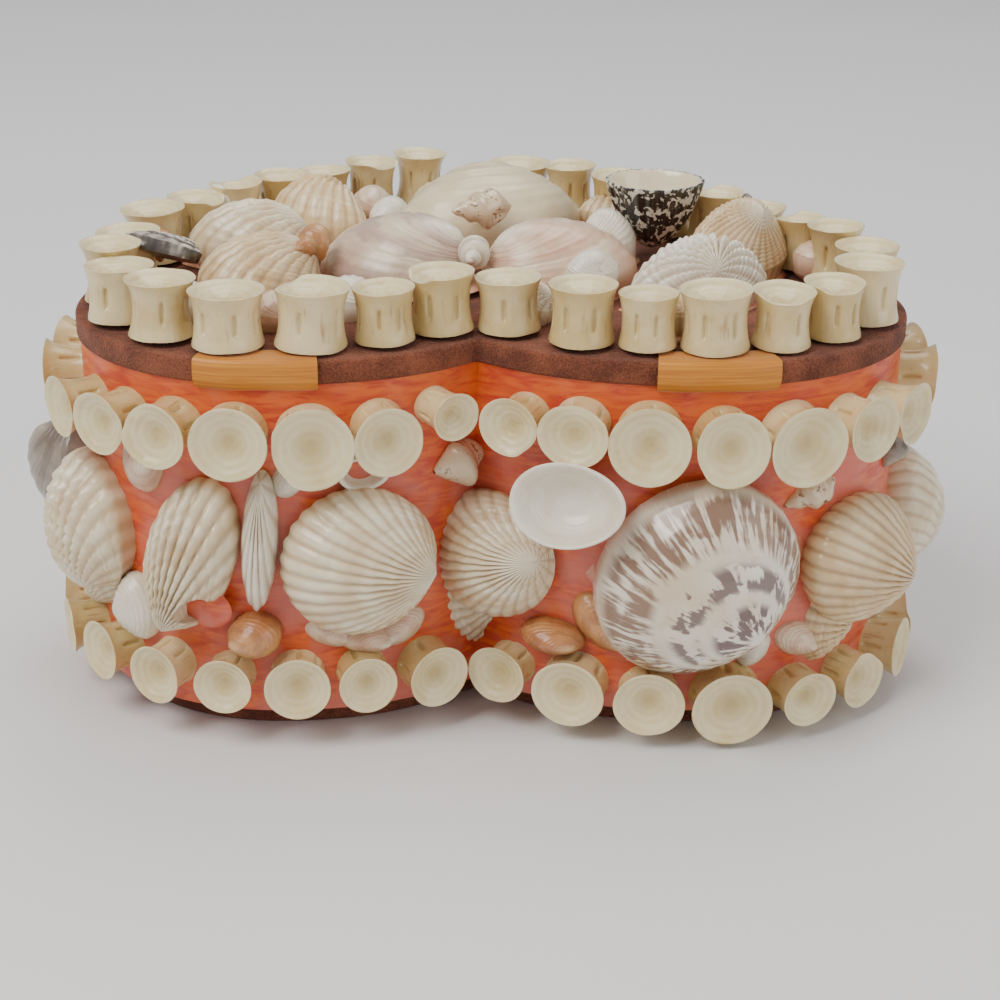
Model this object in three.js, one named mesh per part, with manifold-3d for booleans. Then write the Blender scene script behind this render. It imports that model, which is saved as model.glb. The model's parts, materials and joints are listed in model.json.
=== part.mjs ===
// Heart-shaped keepsake box of card, dressed all over with fish vertebrae and sea shells.
// The lid is hinged on two ribbons at the lobes of the heart, on the -Y side.
// Units are millimetres, +Z is up, and the origin is on the underside, in the middle.
import * as THREE from 'three';
import { mergeVertices } from 'three/addons/utils/BufferGeometryUtils.js';
import Module from 'manifold-3d';

const wasm = await Module();
wasm.setup();

// ---- Driving dimensions -------------------------------------------------------------------

// Heart outline of the lid board: notch and lobes towards -Y, point towards +Y.
const HALF_WIDTH = 63;
const LOBE_X = 31;
const LOBE_Y = -46;
const SIDE_Y = -18;
const NOTCH_Y = -35.5;
const NOTCH_SLOPE = THREE.MathUtils.degToRad(42);
const NOTCH_ROUND = 12;
const POINT_Y = 45.5;
const POINT_ROUND = 15;
const RIGHT_ROUND = 25; // handles of the flanks, where they turn towards the point
const LEFT_ROUND = 35;
const CIRCLE_HANDLE = 0.56;
const LEAN = 2.5; // notch and point are cut this far towards -X of the middle
const OUTLINE_STEPS = 36;

// Boards and wall, as insets from the lid's edge and as heights.
const GAP = 0.3; // left between touching pieces
const BASE_INSET = 4;
const BASE_THICKNESS = 4;
const WALL_INSET = 3;
const WALL_THICKNESS = 2.5;
const LID_BOTTOM = 56;
const LID_THICKNESS = 3.5;
const LID_TOP = LID_BOTTOM + LID_THICKNESS;

// Ribbons, as places along the lid's edge from the notch and as a width.
const RIBBON_WIDTH = 17.4;
const RIBBON_THICKNESS = 0.6;
const RIBBON_FOOT = 51;
const RIBBON_PLACES = { ribbon_left: -33.7, ribbon_right: 36.3 };

// Vertebrae: eight-sided drums with a hollow outer end, waisted where they stand in full view.
const DRUM_SIDES = 8;
const FACET_FACTOR = 1.04; // corner radius over mean radius of an eight-sided drum
const WAIST = 0.8;
const CUP_DEPTH = 1.8;
const LID_DRUM_HEIGHT = 8.7;
const WALL_DRUM_LENGTH = 7.7;
const LID_ROW_INSET = 5.6;
const LID_ROW_BITE = 0.985; // neighbours stand this much of their radii apart
// In the upper row the outer rims touch; in the lower one the feet touch and the rims spread.
// foot is the radius at the wall over that at the outer end, reach is where the spacing is measured.
// standOff is the room left behind the foot: over the ribbons the upper row needs more of it.
const OVER_RIBBON = 2 * GAP + RIBBON_THICKNESS;
const UPPER_STYLE = { foot: 0.86, reach: 6, bite: 0.935, standOff: OVER_RIBBON };
const LOWER_STYLE = { foot: 1, reach: 0, bite: 0.96, standOff: GAP };

// Shells: rings between the beak and the edge, as shares of the way.
const FINE_RINGS = [0.42, 0.8];
const DOME_EDGE = 1.04; // above one, so that the edge of the dome stands off its bed
const BEAK_LIFT = 0.14; // how far the beak rises over the dome, as a share of its depth
const PLAIN_RINGS = [0.55];

// ---- Materials ------------------------------------------------------------------------------

const finish = (color, roughness) => new THREE.MeshStandardMaterial({ color, roughness, metalness: 0 });
const BONE = finish(0xe6d9b4, 0.32);
const SHELL = finish(0xe4dcc6, 0.4);
const BLUSH = finish(0xd9bfae, 0.3);
const PATTERNED = finish(0xcfc0b4, 0.22);
const DARK = finish(0x6b5a4c, 0.3);
const WALL_CARD = finish(0xc8492a, 0.55);
const FELT = finish(0x74392c, 0.95);
const RIBBON = finish(0xc9842b, 0.45);

// ---- Heart outline ----------------------------------------------------------------------------

const v2 = (x, y) => new THREE.Vector2(x, y);

/** Half of the heart from the notch round the lobe to the point, side +1 or -1. */
function halfHeart(side) {
  const lean = (x, y) => v2(side * x - LEAN * (1 - x / HALF_WIDTH), y);
  const notch = lean(0, NOTCH_Y);
  const dip = NOTCH_ROUND * Math.sin(NOTCH_SLOPE);
  const notchOut = lean(NOTCH_ROUND * Math.cos(NOTCH_SLOPE), NOTCH_Y - dip);
  const lobeIn = lean(LOBE_X * (1 - 0.6 * CIRCLE_HANDLE), LOBE_Y);
  const lobe = lean(LOBE_X, LOBE_Y);
  const lobeOut = lean(LOBE_X + CIRCLE_HANDLE * (HALF_WIDTH - LOBE_X), LOBE_Y);
  const sideIn = lean(HALF_WIDTH, SIDE_Y - CIRCLE_HANDLE * (SIDE_Y - LOBE_Y));
  const flank = lean(HALF_WIDTH, SIDE_Y);
  const sideOut = lean(HALF_WIDTH, SIDE_Y + (side > 0 ? RIGHT_ROUND : LEFT_ROUND));
  const pointIn = lean(POINT_ROUND, POINT_Y);
  const point = lean(0, POINT_Y);
  return [
    new THREE.CubicBezierCurve(notch, notchOut, lobeIn, lobe),
    new THREE.CubicBezierCurve(lobe, lobeOut, sideIn, flank),
    new THREE.CubicBezierCurve(flank, sideOut, pointIn, point),
  ];
}

/** The whole heart, counter-clockwise from the notch. */
function heartCurve() {
  const heart = new THREE.CurvePath();
  halfHeart(1).forEach((curve) => heart.add(curve));
  for (const curve of halfHeart(-1).reverse()) {
    heart.add(new THREE.CubicBezierCurve(curve.v3, curve.v2, curve.v1, curve.v0));
  }
  return heart;
}

const HEART = heartCurve();

/** Points of the heart moved in by an inset, evenly spaced before they are moved. */
function heartPoints(inset, count) {
  const edge = HEART.getSpacedPoints(count).slice(0, count);
  return edge.map((point, i) => {
    const along = edge[(i + 1) % count].clone().sub(edge[(i + count - 1) % count]).normalize();
    return v2(point.x - along.y * inset, point.y + along.x * inset);
  });
}

/** A path round the heart, read by its length from the notch: positive to +X, negative to -X. */
class HeartPath {
  constructor(inset) {
    this.points = heartPoints(inset, 1440);
    this.marks = [0];
    this.points.forEach((point, i) => {
      const next = this.points[(i + 1) % this.points.length];
      this.marks.push(this.marks[i] + point.distanceTo(next));
    });
    this.length = this.marks.at(-1);
  }

  /** The plan point at a distance along the path. */
  at(distance) {
    const wrapped = THREE.MathUtils.euclideanModulo(distance, this.length);
    const i = Math.max(1, this.marks.findIndex((mark) => mark > wrapped)) - 1;
    const share = (wrapped - this.marks[i]) / (this.marks[i + 1] - this.marks[i]);
    return this.points[i].clone().lerp(this.points[(i + 1) % this.points.length], share);
  }

  /** Point, direction along the path and direction out of the heart, at a height. */
  station(distance, z, out = 0) {
    const reach = 3;
    const ahead = this.at(distance + reach);
    const tangent = ahead.sub(this.at(distance - reach)).normalize();
    const along = new THREE.Vector3(tangent.x, tangent.y, 0);
    const outward = new THREE.Vector3(tangent.y, -tangent.x, 0);
    const plan = this.at(distance);
    const point = new THREE.Vector3(plan.x, plan.y, z).addScaledVector(outward, out);
    return { point, along, outward };
  }
}

const WALL_PATH = new HeartPath(WALL_INSET);
const LID_PATH = new HeartPath(0);
const LID_ROW_PATH = new HeartPath(LID_ROW_INSET);

// ---- Solids -------------------------------------------------------------------------------------

/** Closed geometry to a solid that can be joined and cut. */
function toSolid(geometry) {
  geometry.deleteAttribute('normal');
  geometry.deleteAttribute('uv');
  const merged = mergeVertices(geometry, 1e-4);
  const mesh = new wasm.Mesh({
    numProp: 3,
    vertProperties: new Float32Array(merged.attributes.position.array),
    triVerts: new Uint32Array(merged.index.array),
  });
  return new wasm.Manifold(mesh);
}

/** The solid's one body as geometry; crumbs that a cut leaves behind are dropped. */
function toGeometry(solid) {
  const bodies = solid.decompose();
  bodies.sort((a, b) => b.volume() - a.volume());
  const mesh = bodies[0].getMesh();
  const geometry = new THREE.BufferGeometry();
  geometry.setAttribute('position', new THREE.BufferAttribute(mesh.vertProperties, 3));
  geometry.setIndex(new THREE.BufferAttribute(mesh.triVerts, 1));
  geometry.computeVertexNormals();
  return geometry;
}

const join = (solids) => solids.reduce((whole, part) => whole.add(part));
const cut = (solid, tools) => tools.reduce((rest, tool) => rest.subtract(tool), solid);

/** Upright plate with a plan outline, between two heights. */
function plate(outline, low, high) {
  const geometry = new THREE.ExtrudeGeometry(new THREE.Shape(outline), {
    depth: high - low,
    bevelEnabled: false,
  });
  return toSolid(geometry.translate(0, 0, low));
}

/** Frame whose x runs along the wall, y up it and z out of it. */
function wallFrame(distance, z, out) {
  const { point, along, outward } = WALL_PATH.station(distance, z, out);
  const up = new THREE.Vector3(0, 0, 1);
  return new THREE.Matrix4().makeBasis(along, up, outward).setPosition(point);
}

/** Level frame on the lid, tipped by angles about X and Y. */
function lidFrame(x, y, z, tipX, tipY) {
  const tip = new THREE.Euler(THREE.MathUtils.degToRad(tipX), THREE.MathUtils.degToRad(tipY), 0);
  return new THREE.Matrix4().makeRotationFromEuler(tip).setPosition(x, y, z);
}

// ---- Vertebrae ------------------------------------------------------------------------------------

/** One vertebra along +Y of its own frame, with its foot at y = 0. */
function drum(radius, height, foot, waisted, clearance) {
  const rim = radius * FACET_FACTOR + clearance;
  const waist = radius * WAIST * FACET_FACTOR + clearance;
  const cup = clearance ? 0 : CUP_DEPTH;
  const profile = [
    v2(0, -clearance),
    v2(rim * foot, -clearance),
    v2(waist, height * 0.5),
    v2(rim, height + clearance),
    v2(0, height + clearance - cup),
  ];
  if (!waisted) profile.splice(2, 1);
  return new THREE.LatheGeometry(profile, DRUM_SIDES);
}

/** Distances along a path at which drums of the given radii stand side by side. */
function sideBySide(path, start, direction, drums, reach, bite) {
  const places = [start];
  for (let i = 1; i < drums.length; i += 1) {
    const apart = bite * (drums[i - 1].radius + drums[i].radius);
    const last = path.station(places[i - 1], drums[i - 1].z, reach).point;
    let distance = places[i - 1];
    do {
      distance += direction * 0.05;
    } while (path.station(distance, drums[i].z, reach).point.distanceTo(last) < apart);
    places.push(distance);
  }
  return places;
}

/** Row of vertebrae that stand on the lid, joined where their rims touch. */
function lidRow(waisted, out, start, direction, diameters, clearance = 0) {
  const drums = diameters.map((diameter) => ({ radius: diameter / 2, z: LID_TOP + GAP }));
  const places = sideBySide(LID_ROW_PATH, start, direction, drums, out, LID_ROW_BITE);
  return join(
    drums.map(({ radius, z }, i) => {
      const { point, along, outward } = LID_ROW_PATH.station(places[i], z, out);
      const height = LID_DRUM_HEIGHT + 0.5 * Math.sin(places[i] * 0.9);
      const geometry = drum(radius, height, 1, waisted, clearance);
      const up = new THREE.Vector3(0, 0, 1);
      const frame = new THREE.Matrix4().makeBasis(outward.clone().negate(), up, along);
      return toSolid(geometry.applyMatrix4(frame.setPosition(point)));
    })
  );
}

/** Row of vertebrae that point out of the wall; each entry is [diameter, height of its middle]. */
function wallRow(style, start, direction, sizes, clearance = 0) {
  const drums = sizes.map(([diameter, z]) => ({ radius: diameter / 2, z }));
  const places = sideBySide(WALL_PATH, start, direction, drums, style.reach, style.bite);
  return join(
    drums.map(({ radius, z }, i) => {
      const { point, along, outward } = WALL_PATH.station(places[i], z, style.standOff);
      const geometry = drum(radius, WALL_DRUM_LENGTH, style.foot, false, clearance);
      const up = new THREE.Vector3(0, 0, 1);
      const frame = new THREE.Matrix4().makeBasis(up, outward, along);
      return toSolid(geometry.applyMatrix4(frame.setPosition(point)));
    })
  );
}

/** Even run of [diameter, height] pairs for the sides that repeat. */
function evenSizes(count, diameter, z, drift) {
  return Array.from({ length: count }, (_, i) => {
    const wobble = Math.sin(i * 2.3);
    return [diameter + 0.4 * wobble, z + (drift * i) / count];
  });
}

// ---- Shells ----------------------------------------------------------------------------------------

/**
 * Half shell with its ribs fanning from the beak, domed towards +z of its own frame.
 * The beak points to -y before the turn; beak is its place from the middle to the edge.
 */
function fanShell({ width, height, depth, ribs, rings, beak = 0.72, relief = 0.45, bed = 4, turn = 0 }) {
  const sides = ribs * 2;
  const crown = [1, ...[...rings].reverse(), 0].map((t) => v2(t, 0));
  const profile = [v2(0, -bed), v2(1, -bed), ...crown];
  const geometry = new THREE.LatheGeometry(profile, sides);
  const place = geometry.attributes.position;
  const spin = THREE.MathUtils.degToRad(turn);
  for (let i = 0; i < place.count; i += 1) {
    const t = Math.hypot(place.getX(i), place.getZ(i));
    const angle = Math.atan2(place.getX(i), place.getZ(i));
    const onRib = Math.abs(Math.round((angle * sides) / (2 * Math.PI))) % 2 === 0;
    const fan = 0.5 - 0.5 * Math.cos(angle);
    const edge = v2(0.5 * width * Math.sin(angle), -0.5 * height * Math.cos(angle));
    if (!onRib) edge.multiplyScalar(1 - (relief * fan) / height);
    const tip = v2(0, -0.5 * height * beak);
    const point = place.getY(i) < 0 ? edge.multiplyScalar(t) : tip.lerp(edge, t);
    const rho = Math.hypot((2 * point.x) / width, (2 * point.y) / height);
    const rise = Math.sqrt(Math.max(0, DOME_EDGE - rho * rho)) + BEAK_LIFT * (1 - t) ** 2;
    const groove = onRib ? 0 : relief * fan * Math.sin(Math.PI * Math.min(1, t + 0.1));
    const z = place.getY(i) < 0 ? place.getY(i) : depth * rise - groove;
    point.rotateAround(v2(0, 0), spin);
    place.setXYZ(i, point.x, point.y, z);
  }
  return geometry;
}

/** Cup open towards +y of its own frame, an oval cone or bowl with a wall of its own. */
function cupShell({ width, height, depth, wall, belly, turn = 0 }) {
  const outer = width / 2;
  const profile = [
    v2(0, 0),
    v2(outer * belly, depth * 0.4),
    v2(outer, depth),
    v2(outer - wall, depth),
    v2((outer - wall) * belly * 0.8, depth * 0.4),
    v2(0, wall * 1.4),
  ];
  const geometry = new THREE.LatheGeometry(profile, 12).scale(1, 1, height / width);
  return geometry.rotateY(THREE.MathUtils.degToRad(turn));
}

/** Spiral shell seen as a spun body with stepped whorls, its spire along +x before the turn. */
function snail({ length, width, turn = 0 }) {
  const r = width / 2;
  const profile = [
    v2(0, -0.5 * length),
    v2(0.62 * r, -0.42 * length),
    v2(r, -0.12 * length),
    v2(0.74 * r, 0.1 * length),
    v2(0.66 * r, 0.22 * length),
    v2(0.34 * r, 0.34 * length),
    v2(0, 0.5 * length),
  ];
  const geometry = new THREE.LatheGeometry(profile, 8);
  geometry.rotateZ(-Math.PI / 2);
  return geometry.rotateZ(THREE.MathUtils.degToRad(turn));
}

/** Jagged plug that breaks a hole through a shell. */
function breach(x, y, width, height) {
  const rim = [v2(-0.5, -0.1), v2(-0.2, -0.5), v2(0.5, -0.35), v2(0.3, 0.2), v2(-0.1, 0.5)];
  const outline = rim.map((corner) => v2(x + corner.x * width, y + corner.y * height));
  const geometry = new THREE.ExtrudeGeometry(new THREE.Shape(outline), { depth: 16, bevelEnabled: false });
  return geometry.translate(0, 0, -2);
}

// ---- Card work ----------------------------------------------------------------------------------------

/** Hollow heart of card, open at the top. */
function boxWall() {
  const low = BASE_THICKNESS + GAP;
  const high = LID_BOTTOM - GAP;
  const outside = plate(heartPoints(WALL_INSET, OUTLINE_STEPS), low, high);
  const inside = heartPoints(WALL_INSET + WALL_THICKNESS, OUTLINE_STEPS);
  return outside.subtract(plate(inside, low - 1, high + 1));
}

/** Ribbon over the lid's edge and down the wall, behind the upper row. */
function ribbon(middle) {
  const outer = GAP + RIBBON_THICKNESS;
  const wallOut = -WALL_INSET + GAP;
  const wallFace = wallOut + RIBBON_THICKNESS;
  const section = [
    [GAP, LID_TOP + RIBBON_THICKNESS],
    [outer, LID_TOP + RIBBON_THICKNESS],
    [outer, LID_BOTTOM - 0.9],
    [wallFace, LID_BOTTOM - 1.6],
    [wallFace, RIBBON_FOOT],
    [wallOut, RIBBON_FOOT],
    [wallOut, LID_BOTTOM - 1],
    [GAP, LID_BOTTOM - 0.4],
  ];
  const half = RIBBON_WIDTH / 2;
  const route = [-half, -half / 2, 0, half / 2, half].map((step) => {
    return LID_PATH.station(middle + step, 0).point;
  });
  // The section's x runs down and its y runs inward, as the sweep sets them on a level route.
  const shape = new THREE.Shape(section.map(([out, z]) => v2(-z, -out)));
  const extrudePath = new THREE.CatmullRomCurve3(route);
  return toSolid(new THREE.ExtrudeGeometry(shape, { steps: 4, extrudePath }));
}

// ---- Assembly -----------------------------------------------------------------------------------------

const group = new THREE.Group();

/** Adds a solid to the box as a named mesh. */
function add(name, solid, material) {
  const mesh = new THREE.Mesh(toGeometry(solid), material);
  mesh.name = name;
  group.add(mesh);
}

add('base_board', plate(heartPoints(BASE_INSET, OUTLINE_STEPS), 0, BASE_THICKNESS), FELT);
add('box_wall', boxWall(), WALL_CARD);
add('lid_board', plate(heartPoints(0, OUTLINE_STEPS), LID_BOTTOM, LID_TOP), FELT);

for (const [name, middle] of Object.entries(RIBBON_PLACES)) add(name, ribbon(middle), RIBBON);

// Rows on the lid: waisted or plain, how far out of the path, start along it, direction, diameters.
const LID_ROWS = {
  lid_row_notch: [true, 0, -15.2, 1, [9.2, 10.0, 9.8]],
  lid_row_right_front: [true, 0, 17, 1, [10.4, 8.9, 10.5, 9.4, 9.1, 10.4]],
  lid_row_right: [false, 0, 76.4, 1, [10.2, 9.2, 8.6, 9.4, 9.6, 9.8, 10.2, 9.4, 10.6]],
  lid_row_left: [false, 2.6, -145.3, 1, [9.7, 9.3, 9.5, 9.2, 9, 9.8, 10.6]],
  lid_row_left_front: [true, 0, -78.8, 1, [10.4, 9.8, 10.2, 10.5, 11.2]],
  lid_drum_lobe: [true, 0, -26, 1, [10.8]],
};

// Rows on the wall: start along the wall, direction, [diameter, height of its middle].
const CLOSE_UPPER = { ...UPPER_STYLE, standOff: GAP };
const UPPER_LEFT = [[10.4, 49], [12.4, 48.4], [11.2, 49], [10.4, 49.4], [9.8, 49.4], [9.6, 49.2]];
const UPPER_RIGHT = [[9.2, 49.6], [10.2, 49.8], [12, 49], [11.4, 48.6], [12.2, 48.4], [10, 49], [9.8, 49]];
const LOWER_LEFT = [[9.9, 9.8], [9, 10.3], [10, 10.3], [8.9, 10.4], [9.2, 10.7], [9.4, 10.7], [9.2, 10.4]];
const LOWER_RIGHT = [[9.4, 8.8], [11, 8.3], [10.6, 7.5], [12.2, 7], [9, 6.5], [9.2, 7], [9.4, 7.6], [9.2, 8.3]];
const WALL_ROWS = {
  upper_drum_notch: [UPPER_STYLE, -9.2, 1, [[7.4, 51]]],
  upper_row_left: [UPPER_STYLE, -17.2, -1, UPPER_LEFT],
  upper_row_right: [UPPER_STYLE, 10, 1, UPPER_RIGHT],
  upper_row_left_back: [CLOSE_UPPER, -72, -1, evenSizes(11, 10, 49.4, 0)],
  upper_row_right_back: [CLOSE_UPPER, 76, 1, evenSizes(11, 9.8, 49.4, 0)],
  lower_row_left: [LOWER_STYLE, -10.9, -1, LOWER_LEFT],
  lower_row_right: [LOWER_STYLE, 8.3, 1, LOWER_RIGHT],
  lower_row_left_back: [LOWER_STYLE, -75, -1, evenSizes(10, 9.6, 10.6, -1.6)],
  lower_row_right_back: [LOWER_STYLE, 87, 1, evenSizes(9, 9.5, 8.4, 0.6)],
};

const lidKeepOut = [plate(heartPoints(-30, OUTLINE_STEPS), LID_TOP - 20, LID_TOP + GAP)];
for (const [name, row] of Object.entries(LID_ROWS)) {
  add(name, lidRow(...row), BONE);
  lidKeepOut.push(lidRow(...row, GAP));
}

const wallKeepOut = [plate(heartPoints(WALL_INSET - GAP, OUTLINE_STEPS), -20, 80)];
for (const [name, row] of Object.entries(WALL_ROWS)) {
  add(name, wallRow(...row), BONE);
  wallKeepOut.push(wallRow(...row, GAP));
}

/** Puts a shell in its frame, clears it from what is already there and adds it. */
function addShell(name, material, frame, make, sizes, keepOut, breaches = []) {
  const solid = toSolid(make(sizes).applyMatrix4(frame));
  const holes = breaches.map((hole) => toSolid(breach(...hole).applyMatrix4(frame)));
  add(name, cut(solid, [...keepOut, ...holes]), material);
  const grown = (size) => size + 2 * GAP;
  const room = { ...sizes };
  for (const key of ['width', 'height', 'length', 'depth', 'bed']) {
    if (room[key]) room[key] = grown(room[key]);
  }
  keepOut.push(toSolid(make(room).applyMatrix4(frame)));
}

const cockle = (width, height, depth, ribs, turn) => ({ width, height, depth, ribs, turn, rings: FINE_RINGS });
const plainCockle = (...sizes) => ({ ...cockle(...sizes), rings: PLAIN_RINGS });
const clam = (width, height, depth, turn) => ({ ...cockle(width, height, depth, 6, turn), relief: 0 });
const smallClam = (...sizes) => ({ ...clam(...sizes), ribs: 4, rings: PLAIN_RINGS });

// Shells glued to the wall: name, material, distance along the wall, height, stand-off, shape, sizes.
const CUP = { width: 17.4, height: 12.6, depth: 6, wall: 1.1, belly: 0.8 };
const WALL_SHELLS = [
  ['clam_patterned', PATTERNED, 34.2, 27.2, 2, fanShell, { ...clam(33.4, 29, 10.5, 52), beak: 0.82 }],
  ['cockle_centre_left', SHELL, -20.6, 29, 2.2, fanShell, cockle(24, 23.6, 8.6, 9, 82)],
  ['cockle_notch', SHELL, 4.6, 26.6, 1.6, fanShell, cockle(21, 23.4, 8, 9, 104)],
  ['cockle_broken', SHELL, -43, 29.5, 1.6, fanShell, cockle(14, 26.5, 8, 8, -18)],
  ['cockle_fan', SHELL, 59.2, 26, 2, fanShell, cockle(21.4, 24, 8, 9, 62)],
  ['cockle_knobbly', SHELL, -61, 30, 1.6, fanShell, cockle(19, 22, 9, 8, 20)],
  ['cockle_oblique', SHELL, 79, 25.6, 2, fanShell, plainCockle(17.4, 23, 10, 8, 20)],
  ['clam_grey', DARK, -80.5, 28.6, 3.4, fanShell, clam(17, 21, 10.5, 160)],
  ['shell_ribbed_white', SHELL, -33.6, 32, 1.6, fanShell, plainCockle(5.6, 23, 6.5, 4, 176)],
  ['clam_open', SHELL, 17.9, 38.1, 5.5, cupShell, CUP],
  ['clam_blush_upper', BLUSH, -50, 43, 1, fanShell, smallClam(11.5, 6.6, 5, 90)],
  ['clam_blush_lower', BLUSH, -52.4, 18.4, 1.4, fanShell, smallClam(11.5, 8, 5, -80)],
  ['snail_bean', BLUSH, -5, 41.4, 2.6, snail, { length: 9.6, width: 7.6, turn: 10 }],
  ['shell_amber', BLUSH, 14.6, 15.4, 2, fanShell, smallClam(5.6, 10.5, 5, 85)],
  ['shell_ochre', DARK, -34.6, 17.4, 2.6, fanShell, smallClam(7.4, 8.6, 5, -80)],
  ['shell_blush_low', BLUSH, -19.5, 15.4, 1, fanShell, smallClam(4.6, 9, 4, 80)],
  ['cockle_left_back', SHELL, -101.5, 29.5, 1.6, fanShell, plainCockle(20, 22, 8.5, 7, -10)],
  ['clam_left_back', BLUSH, -124, 29.5, 1.6, fanShell, clam(21, 20, 7.5, 30)],
  ['cockle_left_point', SHELL, -146, 29.5, 1.6, fanShell, plainCockle(19.5, 21.5, 8.5, 7, 5)],
  ['cockle_right_back', SHELL, 101, 29, 1.6, fanShell, plainCockle(21, 22.5, 8.5, 7, 15)],
  ['clam_right_back', BLUSH, 124, 29, 1.6, fanShell, clam(21, 20.5, 7.5, -20)],
  ['cockle_right_point', SHELL, 146, 29.5, 1.6, fanShell, plainCockle(19.5, 21.5, 8.5, 7, -8)],
];

for (const [name, material, distance, z, out, make, sizes] of WALL_SHELLS) {
  const frame = wallFrame(distance, z, out);
  if (make === cupShell) frame.multiply(new THREE.Matrix4().makeRotationX(Math.PI / 2 - 0.35));
  const holes = name === 'cockle_broken' ? [[2.6, -8, 6, 5]] : [];
  addShell(name, material, frame, make, sizes, wallKeepOut, holes);
}

// Shells on the lid: name, material, x, y, z, tips about X and Y, shape, sizes.
const LIMPET = { width: 16.4, height: 15, depth: 11.6, wall: 1, belly: 0.66 };
const LID_SHELLS = [
  ['lid_clam_back', SHELL, 0, 16.2, 60.2, 0, 0, fanShell, clam(33, 21, 11, 200)],
  ['lid_clam_left', BLUSH, -14.6, -8, 60.2, 0, -4, fanShell, clam(21, 26, 9.4, 70)],
  ['lid_clam_right', BLUSH, 10.6, -9.8, 60.2, 0, 3, fanShell, clam(20, 26, 9.2, -70)],
  ['lid_cockle_front', SHELL, -35.8, -15, 60.2, 4, 0, fanShell, cockle(17, 19.5, 8.4, 8, 100)],
  ['lid_cockle_middle', SHELL, -39, 1.6, 60.2, 0, 0, fanShell, cockle(13.4, 20.5, 9.2, 7, 84)],
  ['lid_cockle_back', SHELL, -28.6, 14.2, 60.2, 0, 0, fanShell, cockle(21, 12.6, 9.8, 7, 140)],
  ['lid_nodular', SHELL, 31.2, -18.6, 60.2, 4, 0, fanShell, plainCockle(23, 12.4, 9.6, 8, 20)],
  ['lid_cockle_scaly', SHELL, 38.4, -5.4, 60.2, 0, 0, fanShell, cockle(23.6, 13.6, 11.2, 8, 50)],
  ['lid_limpet', PATTERNED, 26.6, 8.4, 60.6, 0, 0, cupShell, LIMPET],
  ['lid_shell_glossy', SHELL, 19, 3, 60, 0, 0, fanShell, smallClam(9.4, 10.4, 8, -60)],
  ['lid_snail_spotted', PATTERNED, -1.5, 3, 68.6, 0, 0, snail, { length: 10.5, width: 6.4, turn: 200 }],
  ['lid_shard', DARK, -51, -11.4, 65.6, -24, 12, fanShell, { ...smallClam(7, 13, 2.5, 100), bed: 1 }],
];

for (const [name, material, x, y, z, tipX, tipY, make, sizes] of LID_SHELLS) {
  const frame = lidFrame(x, y, z, tipX, tipY);
  if (make === cupShell) frame.multiply(new THREE.Matrix4().makeRotationX(Math.PI / 2));
  addShell(name, material, frame, make, sizes, lidKeepOut);
}

export default group;
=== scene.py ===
"""Heart-shaped keepsake box of card and felt, dressed with varnished fish vertebrae and sea shells."""
import json
import logging
import math
from collections.abc import Callable, Iterator, Sequence
from contextlib import contextmanager
from dataclasses import dataclass, field
from enum import Enum

import bmesh
import bpy
import numpy as np
from mathutils import Euler, Matrix, Vector
from mathutils.geometry import interpolate_bezier

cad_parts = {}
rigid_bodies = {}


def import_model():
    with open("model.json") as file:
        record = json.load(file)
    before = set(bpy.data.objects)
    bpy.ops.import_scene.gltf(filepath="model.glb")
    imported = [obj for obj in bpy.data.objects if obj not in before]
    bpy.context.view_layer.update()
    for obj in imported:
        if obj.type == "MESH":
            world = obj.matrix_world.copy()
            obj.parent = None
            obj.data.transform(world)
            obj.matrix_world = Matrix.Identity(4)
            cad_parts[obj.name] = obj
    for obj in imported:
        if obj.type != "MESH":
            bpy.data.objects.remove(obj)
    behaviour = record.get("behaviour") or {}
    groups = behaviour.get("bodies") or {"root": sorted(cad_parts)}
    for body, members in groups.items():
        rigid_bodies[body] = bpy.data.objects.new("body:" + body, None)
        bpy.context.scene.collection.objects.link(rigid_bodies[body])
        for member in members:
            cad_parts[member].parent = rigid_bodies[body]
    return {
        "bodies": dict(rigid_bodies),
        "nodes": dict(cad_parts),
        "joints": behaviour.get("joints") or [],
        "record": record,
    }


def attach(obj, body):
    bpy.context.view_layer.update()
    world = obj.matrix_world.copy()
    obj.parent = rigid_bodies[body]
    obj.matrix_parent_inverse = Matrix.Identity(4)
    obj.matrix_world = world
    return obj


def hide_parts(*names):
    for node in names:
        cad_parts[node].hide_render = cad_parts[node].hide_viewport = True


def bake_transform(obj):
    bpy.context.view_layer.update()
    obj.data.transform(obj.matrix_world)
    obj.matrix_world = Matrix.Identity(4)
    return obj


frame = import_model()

LOG = logging.getLogger("keepsake_box")
MM = 0.001
UP = Vector((0.0, 0.0, 1.0))
BOX, LID = "box", "lid"
Colour = tuple[float, float, float, float]


def tone(red: int, green: int, blue: int) -> Colour:
    """A paint-chart colour, each part 0 to 255, as the light values that a shader takes."""
    parts = [part / 255 for part in (red, green, blue)]
    linear = [part / 12.92 if part < 0.04 else ((part + 0.055) / 1.055) ** 2.4 for part in parts]
    return (linear[0], linear[1], linear[2], 1.0)


# ---- Shader maths -------------------------------------------------------------------------------


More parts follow.
